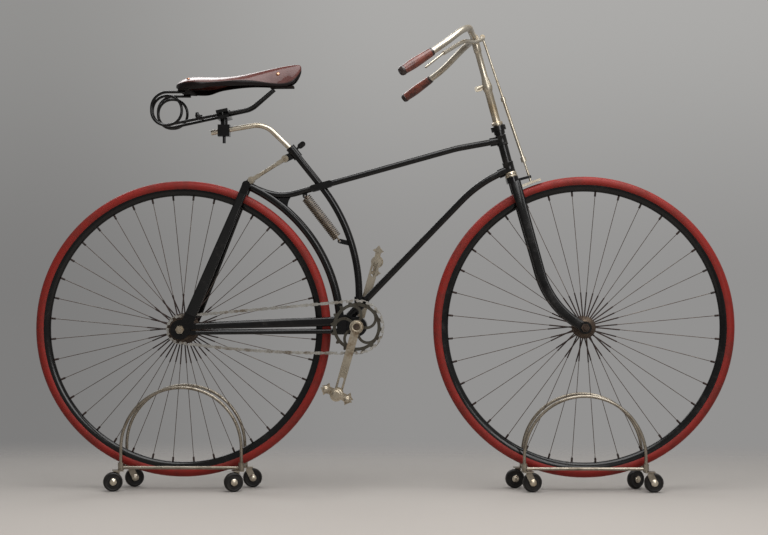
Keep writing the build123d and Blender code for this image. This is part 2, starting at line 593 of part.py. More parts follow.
ARM_REACH = 40.0
UPPER_ARM_UP = 8.0
LOWER_ARM_DOWN = 8.0
UPPER_ARM = (10.0, 15.0)
LOWER_ARM = (10.0, 10.0)
END_RADIUS = 25.0
fork_ends = []
rear_stays = []
chain_stays = []
FORWARD = Vector(1, 0, 0)
for side in SIDES.values():
    hub_end = REAR_AXLE + Vector(0, side * REAR_END_Y, 0)
    end_inner = REAR_END_Y - REAR_END_THICKNESS / 2
    low, high = sorted((side * end_inner, side * (end_inner + REAR_END_THICKNESS)))
    stay_foot = STAY_AIM + STAY_DIRECTION * STAY_FOOT_REACH
    turn = degrees(atan2(STAY_DIRECTION.Z, STAY_DIRECTION.X))
    middle = (STAY_AIM + stay_foot) / 2
    outline = disc(REAR_AXLE, END_RADIUS)
    outline += Pos(middle.X, middle.Z) * Rot(0, 0, turn) * Rectangle(STAY_FOOT_REACH, STAY_FOOT_WIDTH)
    arm_x = REAR_AXLE.X + ARM_REACH / 2
    outline += Pos(arm_x, REAR_AXLE.Z + UPPER_ARM_UP) * Rectangle(ARM_REACH, UPPER_ARM[1])
    outline += Pos(arm_x, REAR_AXLE.Z - LOWER_ARM_DOWN) * Rectangle(ARM_REACH, LOWER_ARM[1])
    fork_ends.append(plate(outline - disc(REAR_AXLE, REAR_AXLE_RADIUS + RUNNING_FIT), low, high))
    stay_top = ARCH_TOP - STAY_DIRECTION * STAY_TOP_DROP + Vector(0, side * STAY_TOP_Y, 0)
    stay_foot = stay_foot + Vector(0, side * REAR_END_Y, 0)
    rear_stays.append(tapered(stay_foot, stay_top, STAY_DIRECTION, (STAY_THICKNESS, STAY_FOOT_WIDTH),
                              (STAY_THICKNESS, STAY_TOP_WIDTH)))
    for arm_up, arm_size, front_up, front_height in (
        (UPPER_ARM_UP, UPPER_ARM, UPPER_STAY_UP, UPPER_STAY_HEIGHT),
        (-LOWER_ARM_DOWN, LOWER_ARM, -LOWER_STAY_DOWN, LOWER_STAY_HEIGHT),
    ):
        arm_end = hub_end + Vector(ARM_REACH, 0, arm_up)
        front = BRACKET + Vector(-BLOCK_REAR, side * CHAIN_STAY_FRONT_Y, front_up)
        chain_stays.append(tapered(arm_end, front, FORWARD, arm_size, (CHAIN_STAY_THICKNESS, front_height)))
save("fork_ends", fork_ends)
save("rear_stays", rear_stays)
save("chain_stays", chain_stays)

# Sprung seat: curved tube that slides through a slotted eye in the top tube, link, tension spring and post
SEAT_CORNER_UP = 161.0
SEAT_TUBE_REACH = 246.0
EYE_PLAY = 2.5
EYE_WALL = 4.0
EYE_SLOT = 50.0
EYE_HEIGHT = 17.0
EYE_END = 22.0
SEAT_LUG_LENGTH = 34.0
SEAT_LUG_WALL = 3.0
SEAT_LEAN = Vector(-sin(radians(SEAT_TUBE_LEAN)), 0, cos(radians(SEAT_TUBE_LEAN)))
SEAT_CORNER = SEAT_FOOT + Vector(0, 0, SEAT_CORNER_UP)
SEAT_TOP = SEAT_CORNER + SEAT_LEAN * SEAT_TUBE_REACH


def crossing(start, direction, other, other_direction):
    """Where two lines in the plane of the frame cross."""
    apart = other - start
    scale = direction.X * other_direction.Z - direction.Z * other_direction.X
    along = (apart.X * other_direction.Z - apart.Z * other_direction.X) / scale
    return start + direction * along


EYE = crossing(SEAT_CORNER, SEAT_LEAN, TOP_DIP, TOP_DIRECTION)
eye_half = SEAT_TUBE_RADIUS + EYE_PLAY
eye_reach = TOP_DIRECTION * EYE_END
eye = plate(strap(EYE - eye_reach, EYE + eye_reach, EYE_HEIGHT), -eye_half - EYE_WALL, eye_half + EYE_WALL)
slot_turn = degrees(atan2(TOP_DIRECTION.Z, TOP_DIRECTION.X))
slot_outline = Pos(EYE.X, EYE.Z) * Rot(0, 0, slot_turn) * Rectangle(EYE_SLOT, 3 * EYE_HEIGHT)
top_tube = largest(top_tube - head_tube - steerer_way) + eye - plate(slot_outline, -eye_half, eye_half)

HOOK_LENGTH = 12.0
HOOK_RADIUS = 2.4
HOOK_SIDE = 1.9
SPRING_EAR = 6.0
SPRING_BEHIND_EYE = 43.0
SPRING_FOOT_FROM_CORNER = Vector(-48.5, 0, -20.0)
FOOT_EAR_REACH = Vector(26.0, 0, -6.0)
spring_ear = EYE - TOP_DIRECTION * SPRING_BEHIND_EYE
SPRING_TOP = spring_ear - Vector(0, 0, TOP_TUBE_RADIUS + SPRING_EAR)
SPRING_FOOT = SEAT_CORNER + SPRING_FOOT_FROM_CORNER
SPRING_DIRECTION = (SPRING_FOOT - SPRING_TOP).normalized()
top_ear = plate(strap(SPRING_TOP, spring_ear, 2 * SPRING_EAR), -SPRING_EAR / 2, SPRING_EAR / 2)
top_tube = top_tube + top_ear - across(SPRING_TOP) * Cylinder(HOOK_RADIUS + SEAT_GAP, 4 * SPRING_EAR)
save("top_tube", top_tube)

seat_tube = tube([SEAT_FOOT, SEAT_CORNER, SEAT_TOP], SEAT_TUBE_RADIUS, [SEAT_TUBE_BEND])
foot_strap = strap(SPRING_FOOT, SPRING_FOOT + FOOT_EAR_REACH, 2 * SPRING_EAR)
foot_ear = plate(foot_strap, -SPRING_EAR / 2, SPRING_EAR / 2)
seat_tube = seat_tube + foot_ear - across(SPRING_FOOT) * Cylinder(HOOK_RADIUS + SEAT_GAP, 4 * SPRING_EAR)
save("seat_tube", seat_tube)

# Tension spring drawn as a hollow sleeve of round coils, with a hooked pin at each end
coil_start = SPRING_TOP + SPRING_DIRECTION * HOOK_LENGTH
coil_length = (SPRING_FOOT - SPRING_TOP).length - 2 * HOOK_LENGTH
coil_step = coil_length / SPRING_COILS
end_wall = 2.0
hollow = SPRING_RADIUS - SPRING_WIRE
groove = SPRING_RADIUS - SPRING_WIRE * 0.35
far_wall = coil_length - end_wall
profile = [(0, coil_length), (0, far_wall), (hollow, far_wall), (hollow, end_wall), (0, end_wall), (0, 0)]
for coil in range(SPRING_COILS):
    profile.append((groove, coil * coil_step))
    profile.append((SPRING_RADIUS, (coil + 0.5) * coil_step))
profile.append((groove, coil_length))
spring = Plane(coil_start, x_dir=(0, 1, 0), z_dir=SPRING_DIRECTION) * turned(profile)
for place, inward in ((SPRING_TOP, SPRING_DIRECTION), (SPRING_FOOT, -SPRING_DIRECTION)):
    loop_y = SPRING_EAR / 2 + HOOK_RADIUS + SEAT_GAP
    pin_half = Vector(0, loop_y + HOOK_RADIUS, 0)
    spring += rod(place - pin_half, place + pin_half, HOOK_RADIUS)
    for side in SIDES.values():
        eye_side = place + Vector(0, side * loop_y, 0)
        spring += rod(eye_side, eye_side + inward * (HOOK_LENGTH + end_wall / 2), HOOK_SIDE)
save("frame_spring", spring)

LINK_TOP_FROM_SEAT = Vector(-34.0, 0, -3.0)
LINK_TOP = SEAT_TOP + LINK_TOP_FROM_SEAT
EAR_ROOT = 12.0
SCREW_RADIUS = 3.0
SCREW_LENGTH = 30.0
WING_REACH = 8.0
WING_WIDTH = 14.0
lug_end = SEAT_TOP + SEAT_LEAN * SEAT_LUG_LENGTH
lug_middle = SEAT_TOP + SEAT_LEAN * SEAT_LUG_LENGTH * 0.6
screw_way = Vector(cos(radians(SEAT_TUBE_LEAN)), 0, sin(radians(SEAT_TUBE_LEAN)))
screw_end = lug_middle + screw_way * SCREW_LENGTH
ear_root = SEAT_TOP + SEAT_LEAN * EAR_ROOT
seat_lug = rod(SEAT_TOP, lug_end, SEAT_TUBE_RADIUS + SEAT_LUG_WALL)
seat_lug += plate(strap(ear_root, LINK_TOP, 2 * EYE_RADIUS), -EAR_THICKNESS / 2, EAR_THICKNESS / 2)
seat_lug += rod(lug_middle, screw_end, SCREW_RADIUS)
wing = strap(screw_end - screw_way * WING_REACH, screw_end, WING_WIDTH)
seat_lug += plate(wing, -SCREW_RADIUS / 2, SCREW_RADIUS / 2)
seat_lug -= across(LINK_TOP) * Cylinder(PIN_RADIUS + RUNNING_FIT, 2 * EAR_THICKNESS)
save("seat_lug", seat_lug)

# Link with a forked eye and a headed pin at each end
LINK_ROD = 4.8
CHEEK = 4.0
FORK_LENGTH = 17.0
link_way = (LINK_TOP - LINK_LOW).normalized()
cheek_inner = EAR_THICKNESS / 2 + SEAT_GAP
cheek_outer = cheek_inner + CHEEK
link = rod(LINK_LOW + link_way * FORK_LENGTH, LINK_TOP - link_way * FORK_LENGTH, LINK_ROD)
for place, inward in ((LINK_LOW, link_way), (LINK_TOP, -link_way)):
    for side in SIDES.values():
        low, high = sorted((side * cheek_inner, side * cheek_outer))
        cheek = disc(place, EYE_RADIUS) + strap(place, place + inward * FORK_LENGTH, 2 * LINK_ROD)
        link += plate(cheek, low, high)
    bridge_low = place + inward * (FORK_LENGTH - CHEEK / 2)
    bridge_high = place + inward * (FORK_LENGTH + CHEEK)
    link += plate(strap(bridge_low, bridge_high, 2 * LINK_ROD + SIDE_PLAY), -cheek_outer, cheek_outer)
    link += across(place) * Cylinder(PIN_RADIUS, 2 * cheek_outer + CHEEK)
save("link_rod", link)

POST_ROOT = 16.0
POST_BEND_BACK = 65.5
POST_BEND_UP = 60.0
POST_END_BACK = 135.5
POST_END_DROP = 23.4
POST_BEND_RADIUS = 60.0
CLAMP_ALONG_POST = 104.0
POST_END_FROM_BEND = Vector(-POST_END_BACK, 0, -POST_END_DROP)
POST_BEND = lug_end + Vector(-POST_BEND_BACK, 0, POST_BEND_UP)
POST_END = POST_BEND + POST_END_FROM_BEND
post = tube([SEAT_TOP + SEAT_LEAN * POST_ROOT, POST_BEND, POST_END], SEAT_POST_RADIUS, [POST_BEND_RADIUS])
save("seat_post", largest(post - seat_lug))

# Saddle: clamp on the post, two spring wires each coiled once behind, nose and cantle plates, leather shell
CLAMP = POST_BEND + POST_END_FROM_BEND.normalized() * CLAMP_ALONG_POST
WIRE = 3.5
WIRE_POINTS = (
    # forward of the clamp, out from the middle, above the clamp, bend radius at the point
    (128.0, 14.0, 104.0, 0.0),
    (69.0, 25.0, 54.0, 60.0),
    (-175.0, 49.0, 4.0, 33.0),
    (-175.0, 49.0, 84.0, 36.0),
    (-101.0, 53.0, 84.0, 36.0),
    (-101.0, 57.0, 10.0, 36.0),
    (-177.0, 58.0, 10.0, 36.0),
    (-177.0, 58.0, 93.0, 40.0),
    (-92.0, 58.0, 93.0, 0.0),
)
wires = []
for side in SIDES.values():
    route = [CLAMP + Vector(forward, side * out, up) for forward, out, up, bend in WIRE_POINTS]
    wires.append(tube(route, WIRE, [bend for forward, out, up, bend in WIRE_POINTS[1:-1]]))
save("saddle_springs", wires)

CLAMP_HALF = 15.0
CLAMP_SCREW = 17.0
POST_STUB = 5.0
BAR_THICKNESS = 8.0
BOLT_RADIUS = 3.0
BOLT_OUT = 9.0
front_point = Vector(WIRE_POINTS[1][0], WIRE_POINTS[1][1], WIRE_POINTS[1][2])
rear_point = Vector(WIRE_POINTS[2][0], WIRE_POINTS[2][1], WIRE_POINTS[2][2])
at_clamp = front_point + (rear_point - front_point) * (front_point.X / (front_point.X - rear_point.X))
wire_slope = degrees(atan2(front_point.Z - rear_point.Z, front_point.X - rear_point.X))
wire_plane = Pos(CLAMP.X, 0, CLAMP.Z + at_clamp.Z) * Rot(0, -wire_slope, 0)
bar_half = at_clamp.Y + BOLT_OUT + 2 * BOLT_RADIUS
under = -WIRE - SEAT_GAP - BAR_THICKNESS / 2
over = WIRE + SEAT_GAP + BAR_THICKNESS / 2
clamp = Pos(CLAMP.X, 0, CLAMP.Z) * Box(2 * CLAMP_HALF, 2 * CLAMP_HALF, 2 * CLAMP_HALF)
clamp += rod(CLAMP, CLAMP + Vector(0, 0, at_clamp.Z - WIRE - BAR_THICKNESS / 2), CLAMP_HALF * 0.6)
clamp += rod(CLAMP - Vector(0, 0, CLAMP_HALF + CLAMP_SCREW), CLAMP, BOLT_RADIUS + 1)
clamp += wire_plane * Pos(0, 0, under) * Box(2 * CLAMP_HALF, 2 * bar_half, BAR_THICKNESS)
bolt = Cylinder(BOLT_RADIUS, over - under + BAR_THICKNESS)
cap = Box(2 * CLAMP_HALF, 2 * (BOLT_OUT + BOLT_RADIUS), BAR_THICKNESS)
for side in SIDES.values():
    for out in (-BOLT_OUT, BOLT_OUT):
        clamp += wire_plane * Pos(0, side * (at_clamp.Y + out), (under + over) / 2) * bolt
    clamp += wire_plane * Pos(0, side * at_clamp.Y, over) * cap
post_way_end = POST_END + POST_END_FROM_BEND.normalized() * POST_STUB
clamp -= rod(POST_BEND, post_way_end, SEAT_POST_RADIUS + RUNNING_FIT)
save("saddle_clamp", clamp)

# Leather: plan, side view and cross-section in common, hollowed by the same shape drawn in by its thickness
LEATHER = 5.0
SADDLE_LOW = 60.0
SADDLE_HIGH = 200.0
SADDLE_RIDGE = (45.0, 141.0)
SADDLE_FLANK = (112.0, 122.0)
SADDLE_PLAN = (
    # forward of the clamp, half width, corner radius
    (-116.0, 80.0, 40.0),
    (-50.0, 112.0, 45.0),
    (34.0, 33.0, 80.0),
    (193.0, 21.0, 17.0),
)
SADDLE_TOP = ((-118, 108), (-113, 122), (-93, 136), (-5, 135), (36, 139), (164, 168), (198, 170))
SADDLE_EDGE = ((184, 126), (160, 108), (76, 113), (-24, 106), (-48, 95), (-90, 95))


def saddle_plan(inset):
    """The saddle seen from above, drawn in by the given amount."""
    points = [(x, -half) for x, half, corner in SADDLE_PLAN]
    points += [(x, half) for x, half, corner in reversed(SADDLE_PLAN)]
    outline = Polygon(*points, align=None)
    for x, half, corner in SADDLE_PLAN:
        outline = fillet([v for v in outline.vertices() if abs(v.X - x) < 0.01], corner)
    return offset(outline, -inset) if inset else outline


def saddle_block(inset, side_outline):
    """What the saddle's plan, side view and cross-section have in common, drawn in by the given amount."""
    tall = SADDLE_HIGH - SADDLE_LOW
    upright = Pos(CLAMP.X, 0, CLAMP.Z + SADDLE_LOW) * extrude(saddle_plan(inset), tall, dir=(0, 0, 1))
    profile = Pos(CLAMP.X, CLAMP.Z) * Polygon(*side_outline, align=None)
    half_roof = [(SADDLE_FLANK[0], SADDLE_LOW), (SADDLE_FLANK[0], SADDLE_FLANK[1] - inset),
                 (SADDLE_RIDGE[0], SADDLE_RIDGE[1] - inset), (SADDLE_RIDGE[0], SADDLE_HIGH)]
    roof_outline = Polygon(*half_roof, *[(-out, up) for out, up in reversed(half_roof)], align=None)
    roof_plane = Plane.YZ.offset(CLAMP.X + SADDLE_REAR)
    roof = extrude(roof_plane * Pos(0, CLAMP.Z) * roof_outline, SADDLE_FRONT - SADDLE_REAR, dir=(1, 0, 0))
    return upright & plate(profile, -SADDLE_FLANK[0], SADDLE_FLANK[0]) & roof


SADDLE_REAR = SADDLE_TOP[0][0]
SADDLE_FRONT = SADDLE_TOP[-1][0]
cavity = [(x, z - LEATHER) for x, z in SADDLE_TOP]
cavity += [(SADDLE_FRONT, SADDLE_LOW), (SADDLE_REAR, SADDLE_LOW)]
leather = saddle_block(0, SADDLE_TOP + SADDLE_EDGE) - saddle_block(LEATHER, cavity)
save("saddle_leather", largest(leather))

PLATE_THICKNESS = 5.0
CANTLE_PLATE = (-130.0, -80.0)
NOSE_PLATE = (118.0, 178.0)
cantle_low = WIRE_POINTS[-1][2] + WIRE + SEAT_GAP
nose_low = WIRE_POINTS[0][2] + WIRE
plate_plan = saddle_plan(LEATHER + SEAT_GAP)
saddle_plates = []
for (rear, front), low in ((CANTLE_PLATE, cantle_low), (NOSE_PLATE, nose_low)):
    band = Pos((rear + front) / 2, 0) * Rectangle(front - rear, 2 * SADDLE_FLANK[0])
    flat = extrude(plate_plan & band, PLATE_THICKNESS, dir=(0, 0, 1))
    saddle_plates.append(Pos(CLAMP.X, 0, CLAMP.Z + low) * flat)
save("saddle_plates", saddle_plates)

# Steering: fork with crown and curved blades, stem, swept handlebar, grips and the plunger brake
CROWN_HEIGHT = 13.0
CROWN_WIDTH = 30.0
CROWN_BOTTOM = -SEAT_GAP - CROWN_HEIGHT
CROWN_EDGE = 2.0
BLADE_AHEAD = 4.0
BLADE_SPREAD = 6.0
BLADE_BEND_BEHIND = 86.4
BLADE_BEND_UP = 50.0
BLADE_BEND = FRONT_AXLE + Vector(-BLADE_BEND_BEHIND, 0, BLADE_BEND_UP)
BLADE_BEND_RADIUS = 222.0
BLADE_KNEE = 0.64
END_BOSS = 16.0
END_ROOM = 20.0
GUIDE_WIDTH = 12.0
ROD_FORWARD = 43.0
ROD_RADIUS = 3.0
TIP_FORWARD = 20.5
TIP_ABOVE_STEM = 2.5
LOCK_NUT = (19.0, 15.0)
STEM_SLEEVE = (14.0, 9.0)
STEM_BEVEL = 3.0
NUT_FOOT = HEAD_LENGTH + SEAT_GAP
NUT_TOP = NUT_FOOT + LOCK_NUT[1]
ROD_GUIDE = on_steer(ROD_FORWARD, 0)
ROD_TOP = on_steer(TIP_FORWARD, STEM_HEIGHT + TIP_ABOVE_STEM)
ROD_DOWN = (ROD_GUIDE - ROD_TOP).normalized()
crown_half = BLADE_TOP_Y + BLADE_TOP[1] / 2 + CROWN_EDGE
crown_base = STEER * Pos(0, 0, CROWN_BOTTOM)
guide_outline = Pos(ROD_FORWARD / 2, 0) * Rectangle(ROD_FORWARD, GUIDE_WIDTH)
guide_outline += Pos(ROD_FORWARD, 0) * Circle(GUIDE_WIDTH / 2)
fork = crown_base * extrude(SlotOverall(2 * crown_half, CROWN_WIDTH, rotation=90), CROWN_HEIGHT)
fork += crown_base * extrude(Circle(STEERER_RADIUS), NUT_FOOT - CROWN_BOTTOM)
fork += STEER * turned([(0, NUT_FOOT), (LOCK_NUT[0], NUT_FOOT), (LOCK_NUT[0], NUT_TOP - STEM_BEVEL),
                        (STEM_SLEEVE[0], NUT_TOP), (0, NUT_TOP)])
fork += crown_base * extrude(guide_outline, CROWN_HEIGHT / 2)
for side in SIDES.values():
    blade_top = on_steer(BLADE_AHEAD, CROWN_BOTTOM + 1, side * BLADE_TOP_Y)
    bend = BLADE_BEND + Vector(0, side * (FORK_END_Y - BLADE_SPREAD), 0)
    blade_end = FRONT_AXLE + Vector(0, side * FORK_END_Y, 0)
    path = FilletPolyline(blade_top, bend, blade_end, radius=BLADE_BEND_RADIUS)
    blade_section = RectangleRounded(BLADE_FOOT[1], BLADE_FOOT[0], BLADE_FOOT[1] * 0.42)
    fork += sweep(Plane(path @ 0, x_dir=(0, 1, 0), z_dir=path % 0) * blade_section, path=path)
    knee = blade_top + (bend - blade_top) * BLADE_KNEE
    fork += tapered(blade_top, knee, (bend - blade_top).normalized(), (BLADE_TOP[1], BLADE_TOP[0]),
                    (BLADE_FOOT[1], BLADE_FOOT[0]))
    end_inner = FORK_END_Y - FORK_END_THICKNESS / 2
    low, high = sorted((side * end_inner, side * (end_inner + FORK_END_THICKNESS)))
    room_low, room_high = sorted((side * (FORK_END_Y - END_ROOM), side * (FORK_END_Y + END_ROOM)))
    fork -= plate(disc(FRONT_AXLE, END_BOSS - 1), room_low, room_high)
    fork += plate(disc(FRONT_AXLE, END_BOSS) - disc(FRONT_AXLE, FRONT_AXLE_RADIUS + RUNNING_FIT), low, high)
guide_reach = ROD_DOWN * 2 * CROWN_HEIGHT
fork -= rod(ROD_GUIDE - guide_reach, ROD_GUIDE + guide_reach, ROD_RADIUS + RUNNING_FIT)
save("fork", fork)

STEM_FOOT = NUT_TOP + SEAT_GAP
STEM_LOWER = 10.0
STEM_UPPER = 8.3
COLLAR_UP = 245.0
COLLAR = (13.0, 40.0)
COLLAR_BELLY = 12.0
COLLAR_SCREW = 26.0
COLLAR_DROP = 6.0
BAR_SOCKET = (9.8, 36.0)
BAR_LUG = 11.0
BAR_LUG_HALF = 14.0
BAR_PLACES = (
    # forward of the stem's top, out from the middle, above the stem's top, bend radius at the point
    (0.0, 0.0, 0.0, 200.0),
    (-22.5, BAR_HALF_WIDTH - 105.0, 5.3, 150.0),
    (-79.5, BAR_HALF_WIDTH - 38.0, -47.7, 150.0),
    (-179.0, BAR_HALF_WIDTH, -116.0, 0.0),
)
STEM_TOP = on_steer(0, STEM_HEIGHT)
right_half = [STEM_TOP + Vector(forward, -out, up) for forward, out, up, bend in BAR_PLACES]
left_half = [STEM_TOP + Vector(forward, out, up) for forward, out, up, bend in BAR_PLACES]
bends = [bend for forward, out, up, bend in BAR_PLACES[:-1]]
bar = tube(right_half[:0:-1] + left_half, BAR_RADIUS, bends[:0:-1] + bends)
save("handlebar", bar)

sleeve_top = STEM_FOOT + STEM_SLEEVE[1]
collar_low = COLLAR_UP - COLLAR[1] / 2
collar_high = COLLAR_UP + COLLAR[1] / 2
socket_low = STEM_HEIGHT - BAR_SOCKET[1]
stem = STEER * turned([
    (0, STEM_FOOT), (STEM_SLEEVE[0], STEM_FOOT), (STEM_SLEEVE[0], sleeve_top - STEM_BEVEL),
    (STEM_LOWER, sleeve_top), (STEM_LOWER, collar_low), (COLLAR[0] - STEM_BEVEL / 2, collar_low + STEM_BEVEL),
    (COLLAR[0], collar_low + COLLAR_BELLY), (STEM_UPPER, collar_high), (STEM_UPPER, socket_low),
    (BAR_SOCKET[0], socket_low + STEM_BEVEL), (BAR_SOCKET[0], STEM_HEIGHT), (0, STEM_HEIGHT),
])
collar_screw = on_steer(-COLLAR_SCREW, COLLAR_UP - COLLAR_DROP)
collar_wing = strap(on_steer(WING_REACH - COLLAR_SCREW, COLLAR_UP - COLLAR_DROP), collar_screw, WING_WIDTH)
stem += across(STEM_TOP) * Cylinder(BAR_LUG, 2 * BAR_LUG_HALF)
stem += rod(on_steer(0, COLLAR_UP), collar_screw, SCREW_RADIUS + 1)
stem += plate(collar_wing, -SCREW_RADIUS / 2, SCREW_RADIUS / 2)
stem -= bar
save("stem", stem)

GRIP_SHAPE = (
    # share of the grip's length from its mouth, share of its radius
    (0.0, 0.8), (0.1, 0.86), (0.55, 1.0), (0.88, 0.9), (0.97, 0.9), (1.0, 0.6),
)
bar_in_grip = GRIP_LENGTH - BAR_RADIUS
grip_bore = BAR_RADIUS + RUNNING_FIT
grip_profile = [(0, bar_in_grip + RUNNING_FIT), (grip_bore, bar_in_grip + RUNNING_FIT), (grip_bore, 0)]
grip_profile += [(GRIP_RADIUS * wide, GRIP_LENGTH * along) for along, wide in GRIP_SHAPE]
grip_profile.append((0, GRIP_LENGTH))
grips = []
for half in (right_half, left_half):
    back = (half[-1] - half[-2]).normalized()
    mouth = Plane(half[-1] - back * bar_in_grip, x_dir=(0, 0, 1), z_dir=back)
    grips.append(mouth * turned(grip_profile))
save("grips", grips)

# The plunger rod stands in front of the head, guided at the crown, with a spoon just above the tyre
PLUNGER_STEPS = (
    # lower end and upper end above the guide, radius
    (36.0, 200.0, 4.2), (30.0, 42.0, 7.0), (192.0, 202.0, 6.3),
)
LEVER_RADIUS = 5.0
LEVER_TANG = 2.6
LEVER_EYE = 6.5
EYE_DROP = 3.0
SPOON_THICKNESS = 6.0
SPOON_WIDTH = 24.0
SPOON_DEPTH = 40.0
SPOON_ANGLE = 3.6
spoon_inner = FRONT_RADIUS + SPOON_GAP
guide_from_axle = ROD_GUIDE - FRONT_AXLE
spoon_reach_down = -guide_from_axle.dot(ROD_DOWN)
spoon_depth = (spoon_inner + SPOON_THICKNESS / 2) ** 2 - guide_from_axle.length ** 2 + spoon_reach_down ** 2
spoon_place = ROD_GUIDE + ROD_DOWN * (spoon_reach_down - sqrt(spoon_depth))
towards_axle = (FRONT_AXLE - spoon_place).normalized()
spoon_middle = degrees(atan2(-towards_axle.Z, -towards_axle.X))
spoon_ring = disc(FRONT_AXLE, spoon_inner + SPOON_THICKNESS) - disc(FRONT_AXLE, spoon_inner)
spoon_reach = (spoon_inner + SPOON_THICKNESS) * 2 * sin(radians(SPOON_ANGLE))
at_spoon = Pos(spoon_place.X, spoon_place.Z) * Rot(0, 0, spoon_middle)
spoon_window = at_spoon * Rectangle(SPOON_DEPTH, spoon_reach)
spoon = plate(spoon_ring & spoon_window, -SPOON_WIDTH / 2, SPOON_WIDTH / 2)
plunger = rod(ROD_TOP, spoon_place, ROD_RADIUS)
for low, high, radius in PLUNGER_STEPS:
    plunger += rod(ROD_GUIDE - ROD_DOWN * low, ROD_GUIDE - ROD_DOWN * high, radius)
save("brake_rod", plunger + spoon)

LEVER_PLACES = (
    # forward of the stem's top, out to the right, above the stem's top, bend radius at the point
    (20.5, 30.0, -3.0, 12.0),
    (0.0, 62.0, -15.0, 40.0),
    (-31.0, 170.0, -25.5, 160.0),
    (-82.0, 270.0, -67.0, 0.0),
    (-124.5, 300.0, -104.0, 0.0),
)
lever_eye = ROD_TOP + ROD_DOWN * EYE_DROP
lever_route = [lever_eye] + [STEM_TOP + Vector(forward, -out, up) for forward, out, up, bend in LEVER_PLACES]
lever = tube(lever_route[:-1], LEVER_RADIUS, [bend for forward, out, up, bend in LEVER_PLACES[:-2]])
lever += rod(*lever_route[-2:], LEVER_TANG)
lever += across(lever_eye) * Cylinder(LEVER_EYE, 2 * LEVER_EYE)
lever -= rod(ROD_GUIDE, ROD_TOP - ROD_DOWN * SEAT_GAP, ROD_RADIUS + RUNNING_FIT)
save("brake_lever", lever)

# Stands: hoops on both sides of the tyre, base rods and cross bars that cradle it, swivelling casters
CORNER_RADIUS = 7.5
CORNER_HEIGHT = 18.0
SWIVEL_RADIUS = 4.0
SWIVEL_BORE = 15.0
BRACKET_PLATE = 3.0
WHEEL_ROOM = 1.5
BRACKET_TOP = 2 * CASTER_RADIUS + BRACKET_PLATE + WHEEL_ROOM
CHEEK_DROP = 9.0
CHEEK_WIDTH = 16.0
AXLE_CAP = 6.5
CAP_THICKNESS = 2.0
TREAD_BEVEL = 4.0
CASTERS = (
    # stand, place along the stand, side, trail direction in degrees
    ("rear", -1, -1, 195.0), ("rear", 1, -1, 200.0), ("rear", -1, 1, 20.0), ("rear", 1, 1, 10.0),
    ("front", -1, -1, 10.0), ("front", 1, -1, 5.0), ("front", -1, 1, 190.0), ("front", 1, 1, 215.0),
)
CORNER_NAMES = {(-1, -1): "rear_right", (1, -1): "front_right", (-1, 1): "rear_left", (1, 1): "front_left"}
